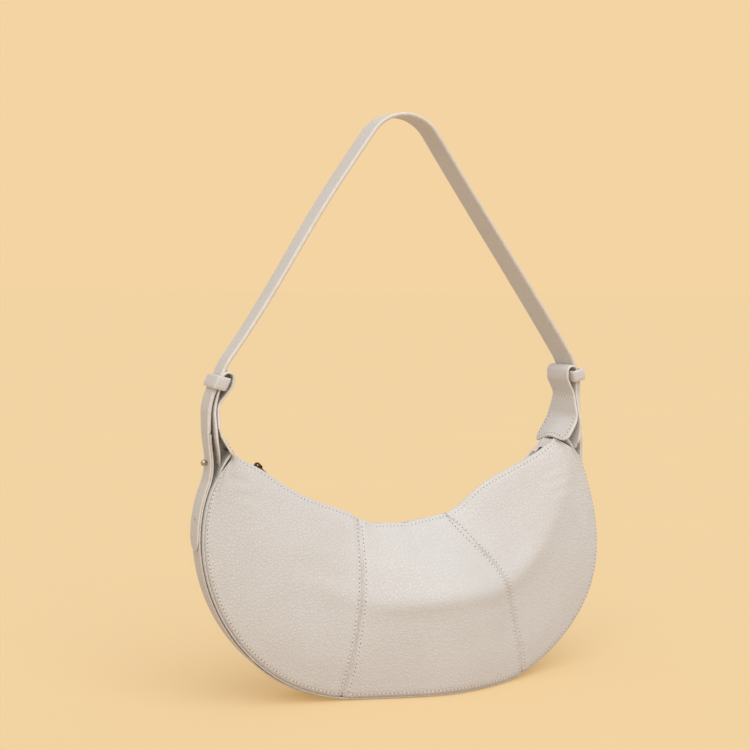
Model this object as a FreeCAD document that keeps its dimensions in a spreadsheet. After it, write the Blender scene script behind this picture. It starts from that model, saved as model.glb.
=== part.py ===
import FreeCAD, Part
import math
import os

import Sketcher

# Half moon shoulder bag: a leather crescent with a zipped mouth, hung from two folded ear tabs.
# X runs to the right, -Y is the front, +Z is up. The origin is the middle of the flat base.

# Driving sizes in millimetres, angles in degrees.
SIZES = {
    # Front outline of the bag
    "zip_radius": 200.0,
    "mouth_height": 138.0,
    "body_half_width": 171.5,
    "corner_radius": 126.0,
    "shoulder_radius": 284.0,
    "ear_height": 206.0,
    # Depth of the bag
    "gusset_half": 45.0,
    "gusset_taper_from": 90.0,
    "gusset_taper_radius": 254.0,
    "belly_bulge": 16.0,
    "lip_half": 9.0,
    "lip_slope": 0.6,
    # Leather and lining
    "leather": 1.8,
    "lining": 0.6,
    "layer_gap": 0.3,
    "seam_rise": 0.6,
    "seam_angle": 12.5,
    "base_seam_angle": 18.0,
    "panel_end_angle": 49.5,
    "lining_end_angle": 43.0,
    # Zip
    "zip_half_angle": 44.0,
    "zip_drop": 2.0,
    "tape_thick": 0.6,
    "tape_flat": 7.4,
    "tape_reach": 12.5,
    "teeth_inner": 0.5,
    "teeth_outer": 3.2,
    "teeth_thick": 2.8,
    "cord_thick": 1.6,
    "tooth_pitch": 4.2,
    "tooth_length": 2.1,
    "stop_length": 3.0,
    # Zip slider and pull
    "slider_rest_angle": 42.0,
    "slider_length": 9.0,
    "slider_half": 4.6,
    "slider_plate": 1.2,
    "slider_flange": 0.9,
    "slider_clear": 0.5,
    "slider_web": 0.4,
    "slider_corner": 1.5,
    "bridge_width": 2.4,
    "bridge_wall": 1.2,
    "bridge_hole_length": 4.4,
    "bridge_hole_height": 3.2,
    "pull_length": 27.0,
    "pull_width": 7.0,
    "pull_thick": 1.8,
    "pull_window_length": 4.4,
    "pull_window_width": 3.6,
    # Shoulder strap
    "strap_width": 25.0,
    "strap_thick": 3.2,
    "strap_ply": 1.6,
    "strap_gap": 0.3,
    "strap_top": 475.0,
    "strap_lean": 34.7,
    "arch_radius": 45.0,
    "bend_radius": 60.0,
    "knuckle_gap": 0.4,
    # Strap tails, holes and studs
    "stud_height": 197.0,
    "lap_height": 212.0,
    "tail_tip_height": 126.0,
    "hole_step": 45.0,
    "hole_radius": 2.1,
    "tip_radius": 11.5,
    "stud_neck_radius": 1.9,
    "stud_ball_radius": 2.6,
    "stud_bore_radius": 1.25,
    "screw_radius": 1.2,
    "screw_head_radius": 4.0,
    "screw_head_thick": 1.2,
    "screw_slot": 0.8,
    # Ear tabs and keepers
    "tab_thick": 2.0,
    "tab_width": 40.0,
    "tab_neck_width": 29.0,
    "tab_flare_height": 222.0,
    "tab_outer_end": 188.0,
    "tab_inner_angle": 45.2,
    "tab_bend_angle": 48.5,
    "tab_waist_height": 236.0,
    "tab_fold_height": 262.0,
    "tab_fold_radius": 4.0,
    "tab_bend_radius": 12.0,
    "tab_corner_radius": 11.0,
    "keeper_height": 10.0,
    "keeper_wall": 1.6,
    "keeper_centre_height": 252.5,
    "keeper_tilt": 8.0,
    "keeper_clear": 0.6,
}

doc = FreeCAD.newDocument("HalfMoonBag")
sheet = doc.addObject("Spreadsheet::Sheet", "Sizes")
for row, (alias, number) in enumerate(SIZES.items(), start=1):
    sheet.set(f"A{row}", alias)
    sheet.set(f"B{row}", str(number))
    sheet.setAlias(f"B{row}", alias)
doc.recompute()

SUB_PARTS = []


def size(alias):
    """Read one driving size from the sheet."""
    return float(sheet.get(alias))


def cell(alias):
    """Name a driving size inside an expression."""
    return f"Sizes.{alias}"


# Places that several pieces share, written as expressions on the sheet.
MOUTH_CENTRE = f"({cell('mouth_height')} + {cell('zip_radius')})"
FLAT_HALF = f"({cell('body_half_width')} - {cell('corner_radius')})"
SHOULDER_X = f"({cell('body_half_width')} - {cell('shoulder_radius')})"
STRAP_INNER = f"({cell('body_half_width')} + {cell('strap_gap')})"
STRAP_LAP = f"({STRAP_INNER} + {cell('strap_ply')})"
STRAP_OUTER = f"({STRAP_INNER} + {cell('strap_thick')})"


def value(expression):
    """Work out an expression on the sheet as a plain number."""
    return float(sheet.evalExpression(expression.replace("Sizes.", "")))


def new_body(label):
    """Start one sub-part as a body with its own label."""
    body = doc.addObject("PartDesign::Body", label)
    body.Label = label
    SUB_PARTS.append(body)
    return body


def new_sketch(body, name, role):
    """Start a sketch on one of the body's own origin planes."""
    plane = next(feature for feature in body.Origin.OriginFeatures if feature.Role == role)
    sketch = body.newObject("Sketcher::SketchObject", f"{body.Label}_{name}")
    sketch.AttachmentSupport = (plane, [""])
    sketch.MapMode = "FlatFace"
    return sketch


def bind(sketch, kind, expression, *where):
    """Add a sketch dimension that follows an expression on the sheet."""
    index = sketch.addConstraint(Sketcher.Constraint(kind, *where, value(expression)))
    sketch.setExpression(f"Constraints[{index}]", expression)


def lock(sketch, geometry, end, across, up):
    """Hold one point of a sketch at its two distances from the origin."""
    for kind, expression, axis in (("DistanceX", across, -2), ("DistanceY", up, -1)):
        if abs(value(expression)) < 1e-9:
            sketch.addConstraint(Sketcher.Constraint("PointOnObject", geometry, end, axis))
        else:
            bind(sketch, kind, expression, -1, 1, geometry, end)


def vector(across, up):
    """Place a pair of expressions in a sketch's plane."""
    return FreeCAD.Vector(value(across), value(up), 0)


def arc_between(start, end, centre):
    """Make the shorter arc between two points, and say whether it runs against the outline."""
    first = math.atan2(start.y - centre.y, start.x - centre.x)
    last = math.atan2(end.y - centre.y, end.x - centre.x)
    turn = (last - first + math.pi) % (2 * math.pi) - math.pi
    radius = start.distanceToPoint(centre)
    circle = Part.Circle(centre, FreeCAD.Vector(0, 0, 1), radius)
    if turn > 0:
        return Part.ArcOfCircle(circle, first, first + turn), False
    return Part.ArcOfCircle(circle, last, last - turn), True


def outline(sketch, corners):
    """Draw a closed outline from corners of two expressions each.

    A corner with three more entries, the arc's centre and radius, is left along an arc.
    """
    ends = []
    for corner, following in zip(corners, corners[1:] + corners[:1]):
        start, end = vector(*corner[:2]), vector(*following[:2])
        if len(corner) == 2:
            geometry = sketch.addGeometry(Part.LineSegment(start, end), False)
            ends.append((geometry, 1, 2))
        else:
            arc, reverse = arc_between(start, end, vector(*corner[2:4]))
            geometry = sketch.addGeometry(arc, False)
            ends.append((geometry, 2, 1) if reverse else (geometry, 1, 2))
    for (geometry, _, tail), (following, head, _) in zip(ends, ends[1:] + ends[:1]):
        sketch.addConstraint(Sketcher.Constraint("Coincident", geometry, tail, following, head))
    for corner, (geometry, head, _) in zip(corners, ends):
        lock(sketch, geometry, head, corner[0], corner[1])
        if len(corner) > 2:
            bind(sketch, "Radius", corner[4], geometry)


def circle(sketch, across, up, radius):
    """Draw a full circle at a place and radius from the sheet."""
    centre = vector(across, up)
    geometry = sketch.addGeometry(Part.Circle(centre, FreeCAD.Vector(0, 0, 1), value(radius)), False)
    lock(sketch, geometry, 3, across, up)
    bind(sketch, "Radius", radius, geometry)


def pad(body, sketch, length):
    """Extrude a sketch to both sides of its plane."""
    feature = body.newObject("PartDesign::Pad", f"{body.Label}_pad_{sketch.Name}")
    feature.Profile = sketch
    feature.SideType = "Symmetric"
    feature.setExpression("Length", length)
    sketch.Visibility = False
    return feature


def cut_through(body, sketch):
    """Cut a sketch through the whole body, to both sides of its plane."""
    doc.recompute()
    before = body.Shape.Volume
    feature = body.newObject("PartDesign::Pocket", f"{body.Label}_cut_{sketch.Name}")
    feature.Profile = sketch
    feature.SideType = "Symmetric"
    feature.Type = "ThroughAll"
    doc.recompute()
    if not feature.Shape.Volume < before:
        raise RuntimeError(f"{feature.Name} cuts nothing")
    return feature


def round_edges(body, radius, chosen):
    """Fillet the edges of the body's tip that a test picks out."""
    doc.recompute()
    base = body.Tip
    names = [f"Edge{i}" for i, edge in enumerate(base.Shape.Edges, start=1) if chosen(edge)]
    feature = body.newObject("PartDesign::Fillet", f"{body.Label}_round_{len(body.Group)}")
    feature.Base = (base, names)
    feature.setExpression("Radius", radius)
    return feature


def mirrored(side, expression):
    """Give an expression on the right-hand side of the bag, or its mirror on the left."""
    return expression if side > 0 else f"-({expression})"


def polar(centre_x, centre_z, radius, angle):
    """Give a point on an arc, its angle measured up from +X."""
    return f"({centre_x} + {radius} * cos({angle}))", f"({centre_z} + {radius} * sin({angle}))"


# Gusset: one strip in three lengths round the sides and the flat base.


def gusset_base():
    """Make the base length of the gusset: flat in the middle, turned up at its two seams."""
    body = new_body("gusset_base")
    sketch = new_sketch(body, "outline", "XZ_Plane")
    rise = f"({cell('base_seam_angle')} - 90)"
    centre = (FLAT_HALF, cell("corner_radius"))
    inside = f"({cell('corner_radius')} - {cell('leather')})"
    outer_end = polar(*centre, cell("corner_radius"), rise)
    inner_end = polar(*centre, inside, rise)

    def left(point):
        return (f"-({point[0]})", point[1])

    outline(sketch, [
        (f"-{FLAT_HALF}", "0"),
        (FLAT_HALF, "0", *centre, cell("corner_radius")),
        outer_end,
        (*inner_end, *centre, inside),
        (FLAT_HALF, cell("leather")),
        (f"-{FLAT_HALF}", cell("leather"), *left(centre), inside),
        left(inner_end),
        (*left(outer_end), *left(centre), cell("corner_radius")),
    ])
    pad(body, sketch, f"2 * {cell('gusset_half')}")


def gusset_side(name, side):
    """Make a side length of the gusset: up the corner's arc to the ear, narrowing as it goes."""
    body = new_body(name)
    sketch = new_sketch(body, "outline", "XZ_Plane")
    rise = f"({cell('base_seam_angle')} - 90)"
    corner = (FLAT_HALF, cell("corner_radius"))
    shoulder = (SHOULDER_X, cell("corner_radius"))
    ear = f"asin(({cell('ear_height')} - {cell('corner_radius')}) / {cell('shoulder_radius')})"
    points = []
    for inset in ("0", cell("leather")):
        corner_arc = f"({cell('corner_radius')} - {inset})"
        shoulder_arc = f"({cell('shoulder_radius')} - {inset})"
        seam_end = polar(*corner, corner_arc, rise)
        middle = (f"({cell('body_half_width')} - {inset})", cell("corner_radius"))
        ear_end = polar(*shoulder, shoulder_arc, ear)
        points.append((seam_end, middle, ear_end, corner_arc, shoulder_arc))
    (seam_out, mid_out, ear_out, corner_out, shoulder_out) = points[0]
    (seam_in, mid_in, ear_in, corner_in, shoulder_in) = points[1]
    loop = [
        (*seam_out, *corner, corner_out),
        (*mid_out, *shoulder, shoulder_out),
        ear_out,
        (*ear_in, *shoulder, shoulder_in),
        (*mid_in, *corner, corner_in),
        seam_in,
    ]
    outline(sketch, [tuple(mirrored(side, e) if i in (0, 2) else e for i, e in enumerate(c)) for c in loop])
    pad(body, sketch, f"2 * {cell('gusset_half')}")

    taper = new_sketch(body, "taper", "YZ_Plane")
    top = f"({cell('ear_height')} + {cell('leather')})"
    climb = f"({top} - {cell('gusset_taper_from')})"
    arc_x = f"({cell('gusset_half')} - {cell('gusset_taper_radius')})"
    tip = f"({arc_x} + sqrt({cell('gusset_taper_radius')}^2 - {climb}^2))"
    waste = f"({cell('gusset_half')} + {cell('leather')})"
    for sign in ("", "-1 * "):
        outline(taper, [
            (f"{sign}{cell('gusset_half')}", cell("gusset_taper_from"),
             f"{sign}{arc_x}", cell("gusset_taper_from"), cell("gusset_taper_radius")),
            (f"{sign}{tip}", top),
            (f"{sign}{waste}", top),
            (f"{sign}{waste}", cell("gusset_taper_from")),
        ])
    cut_through(body, taper)


# Crescent panels and lining: lofted through sections that fan out from the mouth's centre.


def outline_radius(angle):
    """Measure from the mouth's centre to the bag's outline, at an angle from straight down."""
    height = size("mouth_height") + size("zip_radius")
    corner = size("corner_radius")
    flat = size("body_half_width") - corner
    sine, cosine = math.sin(abs(angle)), math.cos(angle)
    if height * math.tan(abs(angle)) <= flat:
        return height / cosine

    def reach(centre_x, radius):
        """Follow the ray out to the far side of a circle that is level with the corner."""
        along = -centre_x * sine - (height - corner) * cosine
        square = centre_x ** 2 + (height - corner) ** 2
        return -along + math.sqrt(along ** 2 - square + radius ** 2)

    radius = reach(size("body_half_width") - size("shoulder_radius"), size("shoulder_radius"))
    if height - radius * cosine < corner:
        radius = reach(flat, corner)
    return radius


def gusset_half_at(height):
    """Give half the gusset's width at a height above the table."""
    climb = max(height - size("gusset_taper_from"), 0.0)
    arc = size("gusset_taper_radius")
    return size("gusset_half") - arc + math.sqrt(arc ** 2 - climb ** 2)


def section_curves(angle, depth, thick):
    """Work out a panel's outer and inner curves in one radial plane, as (across, radius) points.

    A sheet that lies at a depth under the leather stops short of the zip tape and of the gusset.
    """
    mouth = size("zip_radius")
    centre_height = mouth + size("mouth_height")
    outer = outline_radius(angle)
    edge = gusset_half_at(centre_height - outer * math.cos(angle)) + size("leather") + size("layer_gap")
    lip = size("lip_half")
    drop = outer - mouth - size("seam_rise")
    fade = 1.0 - (angle / math.radians(size("panel_end_angle"))) ** 2
    belly = edge + size("belly_bulge") * max(fade, 0.0)
    reach = 0.75 * (edge - lip)
    slope = min(size("lip_slope") * reach, 0.3 * drop)
    poles = [
        (lip, mouth),
        (lip + reach, mouth + slope),
        (belly, mouth + 0.58 * drop),
        (edge, mouth + drop),
    ]
    curve = Part.BezierCurve()
    curve.setPoles([FreeCAD.Vector(across, radius, 0) for across, radius in poles])
    first, last = 0.0, 1.0
    if depth > 0:
        first = (size("tape_reach") + depth + thick - lip) / (3 * reach)
        last -= 2 * depth / (3 * 0.42 * drop)
    rows = []
    for inset in (depth, depth + thick):
        points = []
        for step in range(SECTION_STEPS + 1):
            place = first + (last - first) * step / SECTION_STEPS
            tangent = curve.tangent(place)[0]
            points.append(curve.value(place) + FreeCAD.Vector(-tangent.y, tangent.x, 0) * inset)
        rows.append(points)
    return rows


SECTION_STEPS = 6


def section_wire(angle, side, depth, thick):
    """Make the closed section of a panel in the radial plane at an angle from straight down."""
    centre_height = size("mouth_height") + size("zip_radius")

    def place(point):
        sideways = point.y * math.sin(angle)
        return FreeCAD.Vector(sideways, side * point.x, centre_height - point.y * math.cos(angle))

    outer, inner = (
        [place(point) for point in row] for row in section_curves(angle, depth, thick)
    )
    edges = []
    for row in (outer, inner[::-1]):
        spline = Part.BSplineCurve()
        spline.interpolate(row)
        edges.append(spline.toShape())
    bottom = Part.LineSegment(outer[-1], inner[-1]).toShape()
    top = Part.LineSegment(inner[0], outer[0]).toShape()
    return Part.Wire([edges[0], bottom, edges[1], top])


def lofted_panel(name, side, first, last, spans, depth, thick):
    """Loft one soft panel between two angles in degrees."""
    angles = [math.radians(first + (last - first) * i / spans) for i in range(spans + 1)]
    wires = [section_wire(angle, side, depth, thick) for angle in angles]
    panel = doc.addObject("Part::Feature", name)
    panel.Label = name
    panel.Shape = Part.makeLoft(wires, True, False)
    SUB_PARTS.append(panel)


def crescent_panels():
    """Make the three leather panels of the front and of the back."""
    seam, end = size("seam_angle"), size("panel_end_angle")
    for face, side in (("front", -1), ("back", 1)):
        for where, first, last, spans in (
            ("left", -end, -seam, 6), ("centre", -seam, seam, 4), ("right", seam, end, 6),
        ):
            lofted_panel(f"{face}_panel_{where}", side, first, last, spans, 0.0, size("leather"))


def lining():
    """Make the lining: a front and a back sheet inside the panels, and a strip along the base."""
    end = size("lining_end_angle")
    depth = size("leather") + size("layer_gap")
    for face, side in (("front", -1), ("back", 1)):
        lofted_panel(f"lining_{face}", side, -end, end, 8, depth, size("lining"))
    body = new_body("lining_base")
    sketch = new_sketch(body, "outline", "XZ_Plane")
    low = f"({cell('leather')} + {cell('layer_gap')})"
    high = f"({low} + {cell('lining')})"
    outline(sketch, [
        (f"-{FLAT_HALF}", low), (FLAT_HALF, low), (FLAT_HALF, high), (f"-{FLAT_HALF}", high),
    ])
    pad(body, sketch, f"2 * ({cell('gusset_half')} - {cell('leather')})")


# Zip: two tapes with a row of teeth each, bent to the mouth's arc, and the stops at its ends.


def turned(body, sketch, angle):
    """Turn a sketch about the mouth's centre line, to both sides of the middle."""
    span = value(f"4 * {cell('tape_reach')}")
    up = value(MOUTH_CENTRE)
    axis = sketch.addGeometry(
        Part.LineSegment(FreeCAD.Vector(-span, up, 0), FreeCAD.Vector(span, up, 0)), True
    )
    lock(sketch, axis, 1, f"-4 * {cell('tape_reach')}", MOUTH_CENTRE)
    lock(sketch, axis, 2, f"4 * {cell('tape_reach')}", MOUTH_CENTRE)
    feature = body.newObject("PartDesign::Revolution", f"{body.Label}_turn")
    feature.Profile = sketch
    feature.ReferenceAxis = (sketch, ["Axis0"])
    feature.Midplane = True
    feature.setExpression("Angle", angle)
    return feature


def across_box(sketch, sign, near, far, low, high):
    """Draw a rectangle on the front or the back half of the zip's cross-section."""
    outline(sketch, [
        (f"{sign} * {near}", low), (f"{sign} * {far}", low),
        (f"{sign} * {far}", high), (f"{sign} * {near}", high),
    ])


ZIP_TOP = f"({cell('mouth_height')} - {cell('zip_drop')})"
ZIP_MIDDLE = f"({ZIP_TOP} - {cell('tape_thick')} / 2)"
ZIP_SPAN = f"2 * {cell('zip_half_angle')}"


def zip_side(face, sign):
    """Make the tape and the row of teeth on one side of the zip."""
    tape = new_body(f"zip_tape_{face}")
    sketch = new_sketch(tape, "section", "YZ_Plane")
    low = f"({ZIP_TOP} - {cell('tape_thick')})"
    dip = f"({cell('lip_slope')} * ({cell('tape_reach')} - {cell('tape_flat')}))"
    outline(sketch, [
        (f"{sign} * {cell('teeth_outer')}", low), (f"{sign} * {cell('tape_flat')}", low),
        (f"{sign} * {cell('tape_reach')}", f"{low} - {dip}"), (f"{sign} * {cell('tape_reach')}", f"{ZIP_TOP} - {dip}"),
        (f"{sign} * {cell('tape_flat')}", ZIP_TOP), (f"{sign} * {cell('teeth_outer')}", ZIP_TOP),
    ])
    turned(tape, sketch, ZIP_SPAN)

    teeth = new_body(f"zip_teeth_{face}")
    cord = new_sketch(teeth, "cord", "YZ_Plane")
    half_cord = f"{cell('cord_thick')} / 2"
    middle = f"(({cell('teeth_inner')} + {cell('teeth_outer')}) / 2)"
    across_box(cord, sign, middle, cell("teeth_outer"), f"{ZIP_MIDDLE} - {half_cord}", f"{ZIP_MIDDLE} + {half_cord}")
    turned(teeth, cord, ZIP_SPAN)

    tooth = new_sketch(teeth, "tooth", "YZ_Plane")
    half_tooth = f"{cell('teeth_thick')} / 2"
    across_box(tooth, sign, cell("teeth_inner"), cell("teeth_outer"),
               f"{ZIP_MIDDLE} - {half_tooth}", f"{ZIP_MIDDLE} + {half_tooth}")
    one = pad(teeth, tooth, cell("tooth_length"))
    doc.recompute()
    for direction in (0, 1):
        row = teeth.newObject("PartDesign::PolarPattern", f"{teeth.Label}_row_{direction}")
        row.Originals = [one]
        row.Axis = (cord, ["Axis0"])
        row.Reversed = bool(direction)
        step = f"({cell('tooth_pitch')} / {cell('zip_radius')} * 180 / pi)"
        count = f"floor(({cell('zip_half_angle')} - {step} / 2) / {step})"
        row.setExpression("Occurrences", f"{count} + 1")
        row.setExpression("Angle", f"{count} * {step}")
        teeth.Tip = row
        doc.recompute()


def zip_stop(name, side):
    """Make the stop that closes an end of the zip: a block that both rows run up to."""
    body = new_body(name)
    sketch = new_sketch(body, "section", "YZ_Plane")
    half = f"({cell('teeth_thick')} / 2)"
    outline(sketch, [
        (f"-{cell('teeth_outer')}", f"{ZIP_MIDDLE} - {half}"), (cell("teeth_outer"), f"{ZIP_MIDDLE} - {half}"),
        (cell("teeth_outer"), f"{ZIP_MIDDLE} + {half}"), (f"-{cell('teeth_outer')}", f"{ZIP_MIDDLE} + {half}"),
    ])
    stop = f"({cell('stop_length')} / {cell('zip_radius')} * 180 / pi)"
    turned(body, sketch, stop)
    body.Placement = about_mouth(side * value(f"{cell('zip_half_angle')} + {stop} / 2"))


def about_mouth(angle):
    """Carry a piece along the zip, by an angle from its middle towards the right."""
    centre = FreeCAD.Vector(0, 0, value(MOUTH_CENTRE))
    return FreeCAD.Placement(FreeCAD.Vector(), FreeCAD.Rotation(FreeCAD.Vector(0, -1, 0), angle), centre)


# Slider and pull: drawn at the middle of the mouth, then carried to the left end of the zip.

TEETH_TOP = f"({ZIP_MIDDLE} + {cell('teeth_thick')} / 2)"
TEETH_LOW = f"({ZIP_MIDDLE} - {cell('teeth_thick')} / 2)"
PLATE_LOW = f"({TEETH_TOP} + {cell('slider_clear')})"
PLATE_TOP = f"({PLATE_LOW} + {cell('slider_plate')})"
UNDER_TOP = f"({TEETH_LOW} - {cell('slider_clear')})"
UNDER_LOW = f"({UNDER_TOP} - {cell('slider_plate')})"
PIN_HEIGHT = f"({PLATE_TOP} + {cell('slider_clear')} + {cell('bridge_hole_height')} / 2)"


def zip_slider():
    """Make the slider: an upper and a lower plate on a web, with a bridge for the pull."""
    body = new_body("zip_slider")
    section = new_sketch(body, "section", "YZ_Plane")
    flange_top = f"({ZIP_TOP} + {cell('slider_clear')})"
    flange_low = f"({ZIP_TOP} - {cell('tape_thick')} - {cell('slider_clear')})"
    inner = f"({cell('slider_half')} - {cell('slider_flange')})"
    web = f"({cell('slider_web')} / 2)"
    right_half = [
        (cell("slider_half"), PLATE_TOP), (cell("slider_half"), flange_top), (inner, flange_top),
        (inner, PLATE_LOW), (web, PLATE_LOW), (web, UNDER_TOP), (inner, UNDER_TOP), (inner, flange_low),
        (cell("slider_half"), flange_low), (cell("slider_half"), UNDER_LOW),
    ]
    left_half = [(f"-{across}", up) for across, up in reversed(right_half)]
    outline(section, right_half + left_half)
    pad(body, section, cell("slider_length"))
    corners = value(f"{cell('slider_half')} - {cell('slider_flange')}")
    round_edges(body, cell("slider_corner"), lambda edge: upright(edge) and abs(edge.CenterOfMass.y) > corners
                and edge.Length > size("slider_plate"))

    bridge = new_sketch(body, "bridge", "XZ_Plane")
    hole = f"({cell('bridge_hole_length')} / 2)"
    foot = f"({hole} + {cell('bridge_wall')})"
    hole_low = f"({PIN_HEIGHT} - {cell('bridge_hole_height')} / 2)"
    hole_top = f"({PIN_HEIGHT} + {cell('bridge_hole_height')} / 2)"
    crown = f"({hole_top} + {cell('bridge_wall')})"
    bury = f"({PLATE_TOP} - {cell('slider_plate')} / 2)"
    outline(bridge, [(f"-{foot}", bury), (foot, bury), (foot, hole_top), (hole, crown), (f"-{hole}", crown),
                     (f"-{foot}", hole_top)])
    outline(bridge, [(f"-{hole}", hole_low), (hole, hole_low), (hole, hole_top), (f"-{hole}", hole_top)])
    pad(body, bridge, cell("bridge_width"))
    body.Placement = about_mouth(-size("slider_rest_angle"))


def upright(edge):
    """Say whether a straight edge runs up."""
    direction = edge.Vertexes[-1].Point - edge.Vertexes[0].Point
    return edge.Curve.TypeId == "Part::GeomLine" and abs(direction.x) + abs(direction.y) < 1e-6


def zip_pull():
    """Make the pull: a flat tongue with a window, whose end bar runs through the slider's bridge."""
    body = new_body("zip_pull")
    plan = new_sketch(body, "plan", "XY_Plane")
    plan.setExpression("AttachmentOffset.Base.z", PIN_HEIGHT)
    half = f"({cell('pull_width')} / 2)"
    bar = f"({cell('pull_thick')} / 2)"
    straight = f"({cell('pull_length')} - {half})"
    outline(plan, [
        (f"-{bar}", f"-{half}"), (straight, f"-{half}", straight, "0", half),
        (f"{straight} + {half}", "0", straight, "0", half), (straight, half), (f"-{bar}", half),
    ])
    far = f"({bar} + {cell('pull_window_length')})"
    side = f"({cell('pull_window_width')} / 2)"
    outline(plan, [(bar, f"-{side}"), (far, f"-{side}"), (far, side), (bar, side)])
    pad(body, plan, cell("pull_thick"))
    body.Placement = about_mouth(-size("slider_rest_angle"))


# Shoulder strap: an arch in two straight legs, tails below its knuckles, and side straps.

LEAN = cell("strap_lean")
ARCH_CENTRE = f"({cell('strap_top')} - {cell('arch_radius')})"
BEND_X = f"({STRAP_OUTER} - {cell('bend_radius')})"
# The straight leg meets the upright tail where their outer faces cross.
LEG_CROSS = (f"({ARCH_CENTRE} + ({cell('arch_radius')} - {STRAP_OUTER} * cos({LEAN})) / sin({LEAN}))")
BEND_HEIGHT = f"({LEG_CROSS} - {cell('bend_radius')} * tan({LEAN} / 2))"


def shoulder_strap():
    """Make the arch of the strap, with each end rounded about its knuckle."""
    body = new_body("shoulder_strap")
    sketch = new_sketch(body, "outline", "XZ_Plane")
    centre = ("0", ARCH_CENTRE)
    inside = f"({cell('arch_radius')} - {cell('strap_thick')})"
    tail_end = polar(BEND_X, BEND_HEIGHT, cell("bend_radius"), LEAN)
    outer_top = polar("0", ARCH_CENTRE, cell("arch_radius"), LEAN)
    inner_top = polar("0", ARCH_CENTRE, inside, LEAN)
    outer_end = (f"({tail_end[0]} - {cell('knuckle_gap')} * sin({LEAN}))",
                 f"({tail_end[1]} + {cell('knuckle_gap')} * cos({LEAN}))")
    inner_end = (f"({outer_end[0]} - {cell('strap_thick')} * cos({LEAN}))",
                 f"({outer_end[1]} - {cell('strap_thick')} * sin({LEAN}))")

    def left(point):
        return (f"-({point[0]})", point[1])

    crown = ("0", cell("strap_top"))
    hollow = ("0", f"({cell('strap_top')} - {cell('strap_thick')})")
    outline(sketch, [
        outer_end,
        (*outer_top, *centre, cell("arch_radius")),
        (*crown, *centre, cell("arch_radius")),
        left(outer_top),
        left(outer_end),
        left(inner_end),
        (*left(inner_top), *centre, inside),
        (*hollow, *centre, inside),
        inner_top,
        inner_end,
    ])
    pad(body, sketch, cell("strap_width"))
    low = value(outer_end[1])
    round_edges(body, f"({cell('strap_width')} / 2 - {cell('knuckle_gap')} / 4)",
                lambda edge: across_thickness(edge, size("strap_thick")) and edge.CenterOfMass.z < low)


def across_thickness(edge, thick):
    """Say whether an edge crosses a strip's thickness, on one of its long sides."""
    ends = [vertex.Point for vertex in edge.Vertexes]
    return abs(edge.Length - thick) < 1e-6 and len(ends) == 2 and abs(ends[0].y - ends[1].y) < 1e-6


def strap_tail(name, side):
    """Make a tail: through the keeper at full thickness, then one ply with the stud holes."""
    body = new_body(name)
    sketch = new_sketch(body, "outline", "XZ_Plane")
    inside = f"({cell('bend_radius')} - {cell('strap_thick')})"
    loop = [
        (STRAP_OUTER, cell("tail_tip_height")),
        (STRAP_OUTER, BEND_HEIGHT, BEND_X, BEND_HEIGHT, cell("bend_radius")),
        polar(BEND_X, BEND_HEIGHT, cell("bend_radius"), LEAN),
        (*polar(BEND_X, BEND_HEIGHT, inside, LEAN), BEND_X, BEND_HEIGHT, inside),
        (STRAP_INNER, BEND_HEIGHT),
        (STRAP_INNER, cell("lap_height")),
        (STRAP_LAP, cell("lap_height")),
        (STRAP_LAP, cell("tail_tip_height")),
    ]
    outline(sketch, [tuple(mirrored(side, e) if i in (0, 2) else e for i, e in enumerate(c)) for c in loop])
    pad(body, sketch, cell("strap_width"))
    holes = new_sketch(body, "holes", "YZ_Plane")
    circle(holes, "0", cell("stud_height"), cell("hole_radius"))
    circle(holes, "0", f"({cell('stud_height')} - {cell('hole_step')})", cell("hole_radius"))
    cut_through(body, holes)
    tip = size("tail_tip_height")
    ply = value(f"{cell('strap_thick')} - {cell('strap_ply')}")
    round_edges(body, cell("tip_radius"),
                lambda edge: across_thickness(edge, ply) and abs(edge.CenterOfMass.z - tip) < 1e-6)


def side_strap(name, side):
    """Make a side strap: under the tail's lap, down the side and round the corner to the base seam."""
    body = new_body(name)
    sketch = new_sketch(body, "outline", "XZ_Plane")
    rise = f"({cell('base_seam_angle')} - 90)"
    centre = (FLAT_HALF, cell("corner_radius"))
    near = f"({cell('corner_radius')} + {cell('strap_gap')})"
    far = f"({near} + {cell('strap_ply')})"
    lap = f"({STRAP_LAP} - {cell('knuckle_gap')} / 4)"
    top = f"({cell('lap_height')} - {cell('strap_gap')})"
    far_arc = f"({far} - {cell('knuckle_gap')} / 4)"
    loop = [
        (STRAP_INNER, top),
        (lap, top),
        (lap, cell("corner_radius"), *centre, far_arc),
        polar(*centre, far_arc, rise),
        (*polar(*centre, near, rise), *centre, near),
        (STRAP_INNER, cell("corner_radius")),
    ]
    outline(sketch, [tuple(mirrored(side, e) if i in (0, 2) else e for i, e in enumerate(c)) for c in loop])
    pad(body, sketch, cell("strap_width"))
    hole = new_sketch(body, "hole", "YZ_Plane")
    circle(hole, "0", cell("stud_height"), cell("hole_radius"))
    cut_through(body, hole)


def revolved_about_x(body, name, corners):
    """Turn a half outline about the stud's own axis."""
    sketch = new_sketch(body, name, "XY_Plane")
    outline(sketch, corners)
    feature = body.newObject("PartDesign::Revolution", f"{body.Label}_{name}_turn")
    feature.Profile = sketch
    feature.ReferenceAxis = (sketch, ["H_Axis"])
    feature.Angle = 360
    return feature


def place_stud(body, side):
    """Stand a stud piece on the strap's outer face at the stud's height."""
    spin = FreeCAD.Rotation(FreeCAD.Vector(0, 0, 1), 0 if side > 0 else 180)
    body.Placement = FreeCAD.Placement(FreeCAD.Vector(0, 0, size("stud_height")), spin)


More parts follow.
